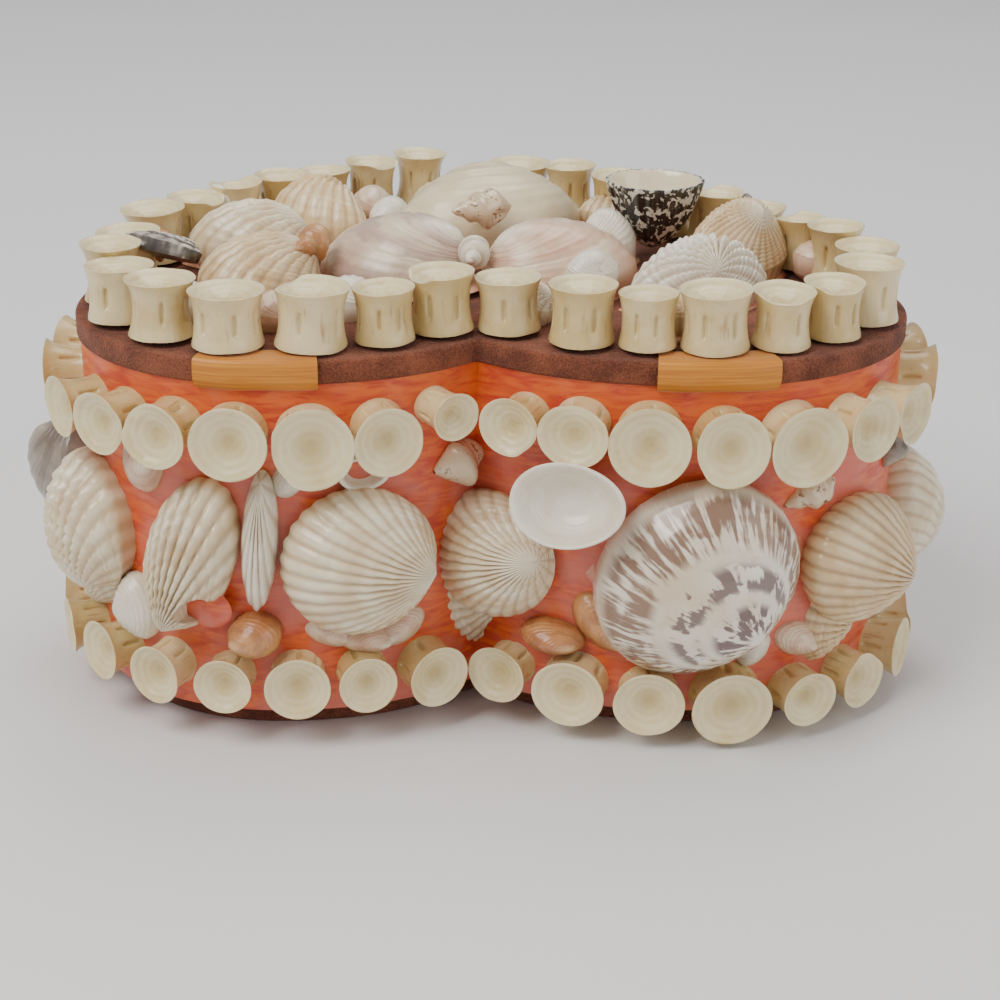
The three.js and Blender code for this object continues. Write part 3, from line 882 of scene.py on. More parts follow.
@dataclass
class VertebraMaker:
    """Fish vertebrae: waisted drums with a hollow cup at the free end and pits in their sides."""

    sides: int = 24
    waists: tuple[float, ...] = (0.18, 0.24, 0.2, 0.27, 0.16, 0.22)
    levels: tuple[float, ...] = (0.1, 0.26, 0.5, 0.74, 0.9)
    steps: tuple[tuple[float, float], ...] = ((0.07, -0.01), (0.16, -0.08), (0.26, -0.08), (0.28, -0.05))
    masters: list[bpy.types.Object] = field(default_factory=list)

    def build(self) -> None:
        """Makes one master for each waist; every third has a chipped rim."""
        for number, waist in enumerate(self.waists):
            self.masters.append(self.shape(number, waist, chipped=number % 3 == 2))

    def shape(self, number: int, waist: float, chipped: bool) -> bpy.types.Object:
        """One master, one across its radius and one high.

        Args:
            number: Its place in the set.
            waist: How much narrower its middle is.
            chipped: Whether a piece of its rim is gone.

        Returns:
            The master.
        """
        add = bpy.ops.mesh.primitive_cylinder_add
        obj = primitive(add, vertices=self.sides, radius=1.0, depth=1.0, location=(0, 0, 0.5))
        bpy.ops.object.transform_apply(location=True, rotation=False, scale=False)
        with editing(obj):
            for level in self.levels:
                bpy.ops.mesh.select_all(action="SELECT")
                bpy.ops.mesh.bisect(plane_co=(0, 0, level), plane_no=(0, 0, 1))
            for level in self.levels:
                narrow = 1 - waist * math.sin(math.pi * min(max(level, 0.0), 1.0)) ** 0.6
                pick(obj, "VERT", lambda at, _, level=level: abs(at.z - level) < 0.01)
                bpy.ops.transform.resize(value=(narrow, narrow, 1), center_override=(0, 0, level))
            pick(obj, "FACE", lambda at, normal: normal.z > 0.9 and at.z > 0.98)
            for thickness, depth in self.steps:
                bpy.ops.mesh.inset(thickness=thickness, depth=depth)
            bpy.ops.mesh.poke(offset=-0.03)
            pitch = 2 * math.pi / self.sides
            slots = {(number * 5 + step) % self.sides for step in (1, 5, 8, 13, 16, 20)}

            def in_slot(at: Vector, normal: Vector) -> bool:
                """Whether a side face belongs to a pit."""
                side = int((math.atan2(at.y, at.x) % (2 * math.pi)) / pitch)
                return abs(normal.z) < 0.5 and 0.26 < at.z < 0.74 and side in slots

            pick(obj, "FACE", in_slot)
            bpy.ops.mesh.inset(thickness=0.045, depth=-0.05)
            bpy.ops.mesh.inset(thickness=0.03, depth=-0.08)
            if chipped:
                pick(obj, "VERT", lambda at, _: at.z > 0.95 and at.x > 0.55 and abs(at.y) < 0.6)
                bpy.ops.transform.translate(value=(-0.1, 0.03, -0.1))
            bpy.ops.mesh.select_all(action="SELECT")
            bpy.ops.transform.vertex_random(offset=0.022, seed=number + 3)
        modify(obj, "SUBSURF", levels=1, render_levels=1)
        places = corners(obj)
        normals = np.empty(len(places) * 3, np.float32)
        obj.data.vertices.foreach_get("normal", normals)
        facing = normals.reshape(-1, 3)[:, 2]
        radius = np.hypot(places[:, 0], places[:, 1])
        store(obj, "form", places)
        store(obj, "cup", ((facing > 0.25) & (places[:, 2] > 0.5) & (radius < 0.95)).astype(float))
        store(obj, "tint", np.zeros(len(places)))
        smooth(obj, 60)
        obj.name = f"vertebra_master_{number}"
        return obj

    def copy(self, number: int, radius: float, length: float, foot: float, frame: Matrix) -> bpy.types.Object:
        """Places a copy of a master.

        Args:
            number: A running number that chooses the master, its turn and its tint.
            radius: The rim's radius.
            length: The copy's length.
            foot: The foot's radius as a share of the rim's.
            frame: The frame it stands in, with z along its axis.

        Returns:
            The copy.
        """
        luck = np.random.default_rng(number * 7 + 1)
        master = self.masters[int(luck.integers(len(self.masters)))]
        twin = copy_of(master, Matrix.Rotation(luck.uniform(0, 2 * math.pi), 4, "Z"))
        places = corners(twin)
        taper = (foot + (1 - foot) * np.clip(places[:, 2:3], 0, 1)) * radius * 1.025
        oval = 1 + luck.uniform(-0.04, 0.04)
        places[:, :2] *= taper * np.array([oval, 1 / oval])
        places[:, 2] *= length
        move_corners(twin, places)
        twin.data.transform(frame @ Euler(luck.uniform(-0.035, 0.035, 3)).to_matrix().to_4x4())
        tint = np.full(len(places), luck.uniform(0, 1), np.float32)
        twin.data.attributes["tint"].data.foreach_set("value", tint)
        return twin


class Stand(Enum):
    """How a row of vertebrae stands: share of the foot, reach, bite and stand-off."""

    LID = (1.0, 0.0, 0.985, 0.0)
    UPPER = (0.86, 6.0, 0.935, 1.2)
    CLOSE_UPPER = (0.86, 6.0, 0.935, 0.3)
    LOWER = (1.0, 0.0, 0.96, 0.3)


@dataclass
class VertebraRow:
    """A row of vertebrae side by side; each size is a diameter and the height of its middle."""

    name: str
    stand: Stand
    start: float
    direction: int
    sizes: Sequence[tuple[float, float]]
    out: float = 0.0
    lid_height: float = 8.7
    wall_length: float = 7.7

    def places(self, path: HeartPath) -> list[float]:
        """Distances along the path at which the vertebrae stand side by side."""
        _, reach, bite, _ = self.stand.value
        reach = self.out if self.stand is Stand.LID else reach
        found = [self.start]
        for before, after in zip(self.sizes, self.sizes[1:]):
            apart = bite * (before[0] + after[0]) / 2
            last = path.station(found[-1], before[1], reach)[0]
            distance = found[-1]
            while (path.station(distance, after[1], reach)[0] - last).length < apart:
                distance += self.direction * 0.05
            found.append(distance)
        return found

    def build(self, maker: VertebraMaker, bone: bpy.types.Material) -> None:
        """Builds the row as one piece and mounts it."""
        foot, _, _, stand_off = self.stand.value
        on_lid = self.stand is Stand.LID
        path = LID_ROW_PATH if on_lid else WALL_PATH
        parts = []
        for i, (distance, (diameter, z)) in enumerate(zip(self.places(path), self.sizes)):
            number = sum(map(ord, self.name)) + 31 * i
            if on_lid:
                point, along, outward = path.station(distance, z, self.out)
                frame = basis(along, -outward, UP, point)
                length = self.lid_height + 0.5 * math.sin(distance * 0.9)
            else:
                frame = wall_frame(distance, z, stand_off)
                length = self.wall_length
            parts.append(maker.copy(number, diameter / 2, length, foot, frame))
        body = LID if on_lid else BOX
        settle(joined(parts), self.name + "_bone", bone, "bone", body, self.name)


def even_sizes(count: int, diameter: float, z: float, drift: float) -> list[tuple[float, float]]:
    """Sizes for a run that repeats with a small wobble."""
    return [(diameter + 0.4 * math.sin(i * 2.3), z + drift * i / count) for i in range(count)]


def on_lid(*diameters: float) -> list[tuple[float, float]]:
    """Sizes of vertebrae that stand on the lid."""
    return [(diameter, 59.8) for diameter in diameters]


VERTEBRA_ROWS = (
    VertebraRow("lid_row_notch", Stand.LID, -15.2, 1, on_lid(9.2, 10, 9.8)),
    VertebraRow("lid_row_right_front", Stand.LID, 17, 1, on_lid(10.4, 8.9, 10.5, 9.4, 9.1, 10.4)),
    VertebraRow(
        "lid_row_right", Stand.LID, 76.4, 1, on_lid(10.2, 9.2, 8.6, 9.4, 9.6, 9.8, 10.2, 9.4, 10.6)
    ),
    VertebraRow("lid_row_left", Stand.LID, -145.3, 1, on_lid(9.7, 9.3, 9.5, 9.2, 9, 9.8, 10.6), 2.6),
    VertebraRow("lid_row_left_front", Stand.LID, -78.8, 1, on_lid(10.4, 9.8, 10.2, 10.5, 11.2)),
    VertebraRow("lid_drum_lobe", Stand.LID, -26, 1, on_lid(10.8)),
    VertebraRow("upper_drum_notch", Stand.UPPER, -9.2, 1, [(7.4, 51)]),
    VertebraRow(
        "upper_row_left",
        Stand.UPPER,
        -17.2,
        -1,
        [(10.4, 49), (12.4, 48.4), (11.2, 49), (10.4, 49.4), (9.8, 49.4), (9.6, 49.2)],
    ),
    VertebraRow(
        "upper_row_right",
        Stand.UPPER,
        10,
        1,
        [(9.2, 49.6), (10.2, 49.8), (12, 49), (11.4, 48.6), (12.2, 48.4), (10, 49), (9.8, 49)],
    ),
    VertebraRow("upper_row_left_back", Stand.CLOSE_UPPER, -72, -1, even_sizes(11, 10, 49.4, 0)),
    VertebraRow("upper_row_right_back", Stand.CLOSE_UPPER, 76, 1, even_sizes(11, 9.8, 49.4, 0)),
    VertebraRow(
        "lower_row_left",
        Stand.LOWER,
        -10.9,
        -1,
        [(9.9, 9.8), (9, 10.3), (10, 10.3), (8.9, 10.4), (9.2, 10.7), (9.4, 10.7), (9.2, 10.4)],
    ),
    VertebraRow(
        "lower_row_right",
        Stand.LOWER,
        8.3,
        1,
        [(9.4, 8.8), (11, 8.3), (10.6, 7.5), (12.2, 7), (9, 6.5), (9.2, 7), (9.4, 7.6), (9.2, 8.3)],
    ),
    VertebraRow("lower_row_left_back", Stand.LOWER, -75, -1, even_sizes(10, 9.6, 10.6, -1.6)),
    VertebraRow("lower_row_right_back", Stand.LOWER, 87, 1, even_sizes(9, 9.5, 8.4, 0.6)),
)


# ---- Shells ---------------------------------------------------------------------------------------


class Relief(Enum):
    """What covers the outside of a valve."""

    RIBS = "ribs"
    KNOBS = "knobs"
    SCALES = "scales"
    SMOOTH = "smooth"


@dataclass
class Valve:
    """Half a shell, domed towards +z, whose beak points to -y before it is turned."""

    width: float
    height: float
    depth: float
    turn: float
    ribs: int = 0
    relief: Relief = Relief.SMOOTH
    beak: float = 0.72
    deep: float = 0.5
    bed: float = 2.4
    rim: float = 0.8
    umbo: float = 0.26

    def build(self) -> bpy.types.Object:
        """Fans a globe's rings out from the beak and closes them behind the margin.

        Returns:
            The valve in millimetres.
        """
        beads = self.relief in (Relief.KNOBS, Relief.SCALES)
        rings = 60 if beads else 30
        if self.width * self.height < 130:
            rings = 16
        segments = max(self.ribs * 6, 28)
        obj = primitive(bpy.ops.mesh.primitive_uv_sphere_add, segments=segments, ring_count=rings, radius=1)
        globe = corners(obj)
        share = np.arccos(np.clip(globe[:, 2], -1, 1)) / math.pi
        angle = np.arctan2(globe[:, 1], globe[:, 0]) + math.pi / 2
        t = np.clip(share / self.rim, 0, 1)
        under = np.clip((share - self.rim) / (1 - self.rim), 0, 1)
        fan = 0.5 - 0.5 * np.cos(angle)
        crest = np.ones_like(t)
        if self.ribs:
            crest = (0.5 + 0.5 * np.cos(angle * self.ribs)) ** 0.75
        lift = self.deep * (0.25 + 0.75 * fan) * np.clip(t * 3.5, 0, 1)
        edge = np.stack([0.5 * self.width * np.sin(angle), -0.5 * self.height * np.cos(angle)], axis=1)
        edge *= (1 - self.deep * (1 - crest) * fan / self.height)[:, None]
        tip = np.array([0.0, -0.5 * self.height * self.beak])
        plan = tip + (edge - tip) * t[:, None]
        rho = np.hypot(plan[:, 0] * 2 / self.width, plan[:, 1] * 2 / self.height)
        z = self.depth * (np.sqrt(np.maximum(0, 1.04 - rho**2)) + self.umbo * (1 - t) ** 2)
        z -= lift * (1 - crest)
        tooth = np.ones_like(t)
        if self.relief is Relief.KNOBS:
            tooth = 0.5 + 0.5 * np.cos(t * 2 * math.pi * 10.5)
            z += lift * 1.1 * crest * tooth - lift * 0.4
        elif self.relief is Relief.SCALES:
            tooth = (t * 13) % 1.0
            z += lift * 0.9 * crest * tooth - lift * 0.3
        else:
            z += 0.12 * np.sin(t * 2 * math.pi * 6.3 + 1.3) * np.clip(t * 3, 0, 1)
        below = under > 0
        plan[below] = edge[below] * (1 - under[below])[:, None] * 0.97
        z[below] = np.maximum(z[below] - 26 * under[below], -self.bed)
        places = np.column_stack([plan, z])
        store(obj, "growth", np.column_stack([t * np.sin(angle), t * np.cos(angle), t]))
        # rib is low in the grooves and between beads; ShellFinish paints shade there.
        store(obj, "rib", np.clip(crest * (0.55 + 0.45 * tooth), 0, 1))
        move_corners(obj, places)
        obj.data.transform(Matrix.Rotation(math.radians(self.turn), 4, "Z"))
        smooth(obj, 80)
        return obj


@dataclass
class Cup:
    """A valve or limpet that lies on its back, open towards +z."""

    width: float
    height: float
    depth: float
    wall: float
    belly: float
    ribs: int = 0

    def build(self) -> bpy.types.Object:
        """Spins the bowl's section, makes it oval and ribs its outside.

        Returns:
            The bowl in millimetres.
        """
        outer, inner, deep = self.width / 2, self.width / 2 - self.wall, self.depth
        profile = [
            (0.0, 0.0),
            (outer * self.belly * 0.55, deep * 0.12),
            (outer * self.belly, deep * 0.4),
            (outer * (self.belly + 1) / 2 * 1.02, deep * 0.7),
            (outer, deep),
            (inner + self.wall * 0.5, deep * 1.01),
            (inner, deep * 0.97),
            (inner * (self.belly + 1) / 2, deep * 0.68),
            (inner * self.belly * 0.85, deep * 0.4),
            (inner * self.belly * 0.4, deep * 0.2),
            (0.0, self.wall * 1.3),
        ]
        obj = spun(profile, 40)
        modify(obj, "SUBSURF", levels=2, render_levels=2)
        places = corners(obj)
        angle = np.arctan2(places[:, 1], places[:, 0])
        radius = np.hypot(places[:, 0], places[:, 1])
        rise = np.clip(places[:, 2] / deep, 0, 1)
        limit = np.interp(rise, [0, 0.4, 1], [0, outer * self.belly, outer]) - self.wall * 0.55
        inside = (radius < limit) & (places[:, 2] > self.wall)
        if self.ribs:
            places[:, :2] *= np.where(inside, 1.0, 1 + 0.025 * np.cos(angle * self.ribs))[:, None]
        places[:, :2] *= 1 + 0.02 * np.sin(angle * 3 + 1)[:, None]
        places[:, 1] *= self.height / self.width
        move_corners(obj, places)
        store(obj, "growth", np.column_stack([np.sin(angle) * rise, np.cos(angle) * rise, rise]))
        store(obj, "rib", inside.astype(float) if self.ribs else np.ones(len(places)))
        smooth(obj, 80)
        return obj


@dataclass
class Snail:
    """A spiral shell, its spire along +x before it is turned."""

    length: float
    width: float
    turn: float
    whorls: float = 3.2
    spire: float = 0.42

    def build(self) -> bpy.types.Object:
        """Spins a spindle and winds a groove round it.

        Returns:
            The shell in millimetres.
        """
        count = 34
        profile = [(0.0, -0.5 * self.length)]
        for step in range(1, count):
            share = step / count
            swell = math.sin(math.pi * min(share / self.spire, 1.0) / 2) if share < self.spire else 1.0
            taper = 1.0 if share < self.spire else 1 - (share - self.spire) / (1 - self.spire)
            profile.append((self.width / 2 * swell * taper**0.8, (share - 0.5) * self.length))
        profile.append((0.0, 0.5 * self.length))
        obj = spun(profile, 32)
        places = corners(obj)
        share = places[:, 2] / self.length + 0.5
        angle = np.arctan2(places[:, 1], places[:, 0])
        wind = np.cos(angle - 2 * math.pi * self.whorls * share**1.5 - 0.4)
        places[:, :2] *= (1 + 0.13 * np.clip(share * 2, 0, 1) * wind)[:, None]
        mouth = np.exp(-(((share - 0.26) / 0.16) ** 2) - ((angle - 1.2) / 0.35) ** 2)
        places[:, :2] *= (1 - 0.4 * mouth)[:, None]
        move_corners(obj, places)
        store(obj, "growth", np.column_stack([np.sin(angle), np.cos(angle), share]))
        # rib is low along the spiral groove and in the mouth; ShellFinish paints shade there.
        store(obj, "rib", np.clip(0.6 + 0.5 * wind - mouth, 0, 1))
        turn = Matrix.Rotation(math.radians(self.turn), 4, "Z")
        obj.data.transform(turn @ Matrix.Rotation(math.pi / 2, 4, "Y"))
        smooth(obj, 80)
        return obj


Shape = Valve | Cup | Snail


def cockle(width: float, height: float, depth: float, turn: float, ribs: int = 26) -> Valve:
    """A ribbed valve."""
    return Valve(width, height, depth, turn, ribs, Relief.RIBS, beak=0.93, deep=0.55)


def knobbly(width: float, height: float, depth: float, turn: float, ribs: int = 20) -> Valve:
    """A valve with rows of beads on its ribs."""
    return Valve(width, height, depth, turn, ribs, Relief.KNOBS, beak=0.93, deep=0.6)


def clam(width: float, height: float, depth: float, turn: float) -> Valve:
    """A smooth valve."""
    return Valve(width, height, depth, turn, beak=0.84)


@dataclass(frozen=True)
class ShellPlace:
    """Where a shell sits, what it looks like and the solid it stands for, if any."""

    name: str
    finish: str
    slot: str
    spot: tuple[float, ...]
    shape: Shape
    solid: bool = True


def wall_shells() -> list[ShellPlace]:
    """The shells glued to the wall, each at a distance, a height and a stand-off."""
    return [
        ShellPlace(
            "clam_patterned", "blotched", "patterned_shell", (34.2, 27.2, 2), Valve(33.4, 29, 10.5, 52, beak=0.82)
        ),
        ShellPlace("cockle_centre_left", "cockle", "shell", (-20.6, 29, 2.2), cockle(24, 23.6, 8.6, 82, 28)),
        ShellPlace("cockle_notch", "cockle", "shell", (4.6, 26.6, 1.6), cockle(21, 23.4, 8, 104)),
        ShellPlace("cockle_broken", "cockle", "shell", (-43, 29.5, 1.6), knobbly(14, 26.5, 8, -18, 18)),
        ShellPlace("cockle_fan", "tan", "shell", (59.2, 26, 2), cockle(21.4, 24, 8, 62, 28)),
        ShellPlace("cockle_knobbly", "cockle", "shell", (-61, 30, 1.6), knobbly(19, 22, 9, 20)),
        ShellPlace("cockle_oblique", "cockle", "shell", (79, 25.6, 2), cockle(17.4, 23, 10, 20)),
        ShellPlace("clam_grey", "grey", "dark_shell", (-80.5, 28.6, 3.4), clam(17, 21, 10.5, 160)),
        ShellPlace("shell_ribbed_white", "white", "shell", (-33.6, 32, 1.6), cockle(5.6, 23, 6.5, 176, 12)),
        ShellPlace("clam_open", "white", "shell", (17.9, 38.1, 5.5), Cup(17.4, 12.6, 6, 1.1, 0.8)),
        ShellPlace("clam_blush_upper", "blush", "blush_shell", (-50, 43, 1), clam(11.5, 6.6, 5, 90)),
        ShellPlace("clam_blush_lower", "white", "blush_shell", (-52.4, 18.4, 1.4), clam(11.5, 8, 5, -80)),
        ShellPlace("snail_bean", "speckled", "blush_shell", (-5, 41.4, 2.6), Snail(9.6, 7.6, 10, 1.6, 0.55)),
        ShellPlace("shell_amber", "amber", "blush_shell", (14.6, 15.4, 2), clam(5.6, 10.5, 5, 85)),
        ShellPlace("shell_ochre", "amber", "dark_shell", (-34.6, 17.4, 2.6), clam(7.4, 8.6, 5, -80)),
        ShellPlace("shell_blush_low", "blush", "blush_shell", (-19.5, 15.4, 1), clam(4.6, 9, 4, 80)),
        ShellPlace("cockle_left_back", "cockle", "shell", (-101.5, 29.5, 1.6), cockle(20, 22, 8.5, -10)),
        ShellPlace("clam_left_back", "clam", "blush_shell", (-124, 29.5, 1.6), clam(21, 20, 7.5, 30)),
        ShellPlace("cockle_left_point", "tan", "shell", (-146, 29.5, 1.6), cockle(19.5, 21.5, 8.5, 5)),
        ShellPlace("cockle_right_back", "cockle", "shell", (101, 29, 1.6), cockle(21, 22.5, 8.5, 15)),
        ShellPlace("clam_right_back", "clam", "blush_shell", (124, 29, 1.6), clam(21, 20.5, 7.5, -20)),
        ShellPlace("cockle_right_point", "cockle", "shell", (146, 29.5, 1.6), cockle(19.5, 21.5, 8.5, -8)),
        ShellPlace("snail_pink", "blush", "shell", (-68, 44, 2.4), Snail(9.5, 5.4, 150), False),
        ShellPlace("bit_white_high", "white", "shell", (-29.6, 41.7, 0.8), clam(7, 5, 3.4, 60), False),
        ShellPlace("bit_ring", "white", "shell", (-19.6, 42.6, 1.2), Cup(8, 5.4, 3.2, 1.0, 0.9), False),
        ShellPlace("bit_pink_left", "blush", "shell", (-14, 16.5, 0.6), clam(6, 9, 3.4, -60), False),
        ShellPlace("bit_pink_low", "blush", "shell", (-24.4, 16.8, 0.6), clam(5, 9, 3.2, 70), False),
        ShellPlace("valve_under_notch", "cockle", "shell", (-1.5, 18.6, 0.4), cockle(18, 13, 4.6, 100, 22), False),
        ShellPlace("valve_under_fan", "tan", "shell", (55.5, 16.8, 0.4), cockle(16, 10, 4.6, 70, 22), False),
        ShellPlace("valve_under_knobbly", "cockle", "shell", (-64, 19, 0.4), cockle(16, 10, 5, 10, 20), False),
        ShellPlace("valve_ochre", "amber", "shell", (21.4, 18.4, 0.4), clam(8, 12, 4.4, 40), False),
        ShellPlace("bit_pink_right_a", "blush", "shell", (50, 14.6, 0.8), clam(6, 9, 3.6, 60), False),
        ShellPlace("bit_pink_right_b", "white", "shell", (43.5, 14.0, 0.8), clam(5, 7, 3.2, -40), False),
        ShellPlace("bit_pink_right_c", "blush", "shell", (68, 15.0, 0.8), clam(7, 8, 3.6, 30), False),
        ShellPlace("snail_wall_spotted", "speckled", "shell", (50.5, 38.4, 2.4), Snail(9.4, 5.8, 200), False),
        ShellPlace("snail_wall_dark", "grey", "shell", (69, 41.5, 2.6), Snail(9.4, 6.6, 60), False),
        ShellPlace("bit_gap_left", "tan", "shell", (-90.5, 24, 0.8), cockle(9, 13, 4, 20, 14), False),
        ShellPlace("bit_gap_back_a", "blush", "shell", (-112.5, 38, 0.8), clam(8, 7, 3.6, 40), False),
        ShellPlace("bit_gap_back_b", "white", "shell", (-135, 20.5, 0.8), clam(9, 8, 3.6, -30), False),
        ShellPlace("bit_gap_back_c", "tan", "shell", (90, 24, 0.8), clam(8, 12, 4, 10), False),
        ShellPlace("bit_gap_back_d", "blush", "shell", (112.5, 20.5, 0.8), clam(9, 8, 3.6, 30), False),
        ShellPlace("bit_gap_back_e", "white", "shell", (135, 38, 0.8), clam(8, 7, 3.6, 70), False),
    ]


def lid_shells() -> list[ShellPlace]:
    """The shells glued on the lid, each at x, y, z and two tips."""
    return [
        ShellPlace("lid_clam_back", "clam", "shell", (0, 16.2, 60.2), clam(33, 21, 11, 200)),
        ShellPlace("lid_clam_left", "lilac", "blush_shell", (-14.6, -8, 60.2, 0, -4), clam(21, 26, 9.4, 70)),
        ShellPlace("lid_clam_right", "blush", "blush_shell", (10.6, -9.8, 60.2, 0, 3), clam(20, 26, 9.2, -70)),
        ShellPlace("lid_cockle_front", "tan", "shell", (-35.8, -15, 60.2, 4, 0), cockle(17, 19.5, 8.4, 100, 20)),
        ShellPlace("lid_cockle_middle", "cockle", "shell", (-39, 1.6, 60.2), cockle(13.4, 20.5, 9.2, 84, 18)),
        ShellPlace("lid_cockle_back", "gold", "shell", (-28.6, 14.2, 60.2), cockle(21, 12.6, 9.8, 140, 20)),
        ShellPlace("lid_nodular", "white", "shell", (31.2, -18.6, 60.2, 4, 0), knobbly(23, 12.4, 9.6, 20, 18)),
        ShellPlace(
            "lid_cockle_scaly",
            "tan",
            "shell",
            (38.4, -5.4, 60.2),
            Valve(23.6, 13.6, 11.2, 50, 30, Relief.SCALES, deep=0.5),
        ),
        ShellPlace("lid_limpet", "limpet", "patterned_shell", (26.6, 8.4, 60.6), Cup(16.4, 15, 11.6, 1, 0.66, 22)),
        ShellPlace("lid_shell_glossy", "white", "shell", (19, 3, 60), clam(9.4, 10.4, 8, -60)),
        ShellPlace(
            "lid_snail_spotted", "speckled", "patterned_shell", (-1.5, 3, 68.6), Snail(10.5, 6.4, 200)
        ),
        ShellPlace(
            "lid_shard",
            "striped",
            "dark_shell",
            (-51, -11.4, 65.6, -24, 12),
            Valve(7, 13, 2.5, 100, 12, Relief.RIBS, deep=0.3, bed=0.8),
        ),
        ShellPlace("lid_snail_white", "white", "shell", (-45, 17.4, 65.4), Snail(9, 6.4, 30, 1.8, 0.5), False),
        ShellPlace("lid_bit_pale_a", "white", "shell", (-16.6, 13.5, 63), clam(8, 7, 4.4, 40), False),
        ShellPlace("lid_bit_pale_b", "blush", "shell", (-19.9, 20.7, 63), clam(8, 7, 4.4, 10), False),
        ShellPlace("lid_snail_brown", "amber", "shell", (-27.6, -13.6, 67.4), Snail(9, 5.6, 240), False),
        ShellPlace("lid_snail_orange", "amber", "shell", (-51.9, -3.7, 64.4), Snail(8, 5.2, 20), False),
        ShellPlace("lid_snail_pointed", "white", "shell", (-2.9, -15.9, 66.6), Snail(9, 5, 260), False),
        ShellPlace("lid_snail_olive", "grey", "shell", (41.5, 16.2, 65), Snail(9, 6, 170), False),
        ShellPlace("lid_bit_glossy", "white", "shell", (14.9, -19.6, 64), clam(9, 6, 4, 20), False),
        ShellPlace("lid_bit_pink", "blush", "shell", (51.3, -4.9, 62), clam(7, 8, 3.6, 80), False),
        ShellPlace("lid_bit_front_a", "blush", "shell", (-32, -30, 60.6), clam(8, 7, 4, 30), False),
        ShellPlace("lid_bit_front_b", "white", "shell", (-22.1, -25, 60.6), clam(8, 9, 4.6, 100), False),
        ShellPlace("lid_bit_front_c", "cockle", "shell", (5.6, -26.4, 60.6), cockle(9, 7, 4.4, 60, 14), False),
        ShellPlace("lid_bit_front_d", "tan", "shell", (27, -33.4, 60.6), cockle(10, 7, 4.4, 190, 14), False),
        ShellPlace("lid_bit_front_e", "white", "shell", (-45.6, -25.6, 60.6), clam(8, 7, 4, 60), False),
        ShellPlace("lid_bit_point_a", "cockle", "shell", (6, 33, 60.4), cockle(13, 10, 5.4, 20, 18), False),
        ShellPlace("lid_bit_point_b", "clam", "shell", (-9, 31.6, 60.4), clam(11, 9, 5, 120), False),
        ShellPlace("lid_bit_back_a", "tan", "shell", (20.6, 23.6, 60.4), cockle(12, 9, 5, 160, 16), False),
        ShellPlace("lid_bit_right", "blush", "shell", (47, 8.6, 60.4), clam(10, 9, 4.6, 40), False),
    ]


@dataclass
class ShellWork:
    """All the shells with the glue that holds them."""

    finishes: dict[str, bpy.types.Material]
    glue: bpy.types.Material
    card: bpy.types.Material

    def breach(self, shell: bpy.types.Object, frame: Matrix) -> None:
        """Breaks a jagged hole in a shell and shows the card in it.

        Args:
            shell: The shell in millimetres, before it is placed.
            frame: Its frame on the wall.
        """
        plug = primitive(bpy.ops.mesh.primitive_cylinder_add, vertices=9, radius=1.0, depth=12.0)
        places = corners(plug)
        jag = 1 + 0.24 * np.sin(np.arctan2(places[:, 1], places[:, 0]) * 4 + 0.6)
        places[:, :2] *= jag[:, None] * np.array([3.4, 2.8])
        places += np.array([2.6, -8.0, 8.6])
        move_corners(plug, places)
        modify(shell, "BOOLEAN", operation="DIFFERENCE", object=plug, solver="EXACT")
        bpy.data.objects.remove(plug)
        patch = primitive(bpy.ops.mesh.primitive_uv_sphere_add, segments=24, ring_count=8, radius=1)
        patch_places = corners(patch) * np.array([3.9, 3.2, 0.7]) + np.array([2.6, -8.0, 2.7])
        move_corners(patch, patch_places)
        patch.data.transform(frame)
        smooth(patch, 80)
        settle(patch, "card_in_the_hole", self.card, "card", BOX)

    def glue_bed(self, shape: Shape, frame: Matrix, number: int) -> bpy.types.Object:
        """A smear of set glue behind a shell.

        Args:
            shape: The shell that it holds.
            frame: The shell's frame.
            number: A running number for its outline.

        Returns:
            The smear.
        """
        ball = primitive(bpy.ops.mesh.primitive_uv_sphere_add, segments=28, ring_count=8, radius=1)
        places = corners(ball)
        angle = np.arctan2(places[:, 1], places[:, 0])
        wobble = 1 + 0.07 * np.sin(angle * 3 + number) + 0.05 * np.sin(angle * 7 + number * 2)
        wide = getattr(shape, "width", 8.0) / 2 + 0.2
        high = getattr(shape, "height", wide * 1.6) / 2 + 0.2
        places[:, :2] *= wobble[:, None]
        places *= np.array([wide, high, 1.1])
        move_corners(ball, places)
        turn = Matrix.Rotation(math.radians(getattr(shape, "turn", 0.0)), 4, "Z")
        ball.data.transform(frame @ turn)
        return ball

    def place(self, spots: Sequence[ShellPlace], on_wall: bool) -> None:
        """Builds and mounts the shells of one side and their glue.

        Args:
            spots: The shells.
            on_wall: Whether they sit on the wall.
        """
        body = BOX if on_wall else LID
        smears = []
        for number, spot in enumerate(spots):
            frame = wall_frame(*spot.spot) if on_wall else lid_frame(*spot.spot)
            shell = spot.shape.build()
            if spot.name == "cockle_broken":
                self.breach(shell, frame)
            lean = Matrix.Rotation(-0.35, 4, "X") if spot.name == "clam_open" else Matrix.Identity(4)
            shell.data.transform(frame @ lean)
            nodes = [spot.name] if spot.solid else []
            settle(shell, spot.name + "_dressed", self.finishes[spot.finish], spot.slot, body, *nodes)
            if isinstance(spot.shape, Valve) and spot.shape.width > 9:
                depth = -spot.spot[2] + 0.3 if on_wall else 59.7 - spot.spot[2]
                bed = Matrix.Translation((0, 0, depth))
                smears.append(self.glue_bed(spot.shape, frame @ bed, number))
        smear = joined(smears)
        smooth(smear, 80)
        settle(smear, "glue_wall" if on_wall else "glue_lid", self.glue, "card", body)

    def build(self) -> None:
        """Builds the wall's shells and the lid's."""
        self.place(wall_shells(), True)
        self.place(lid_shells(), False)


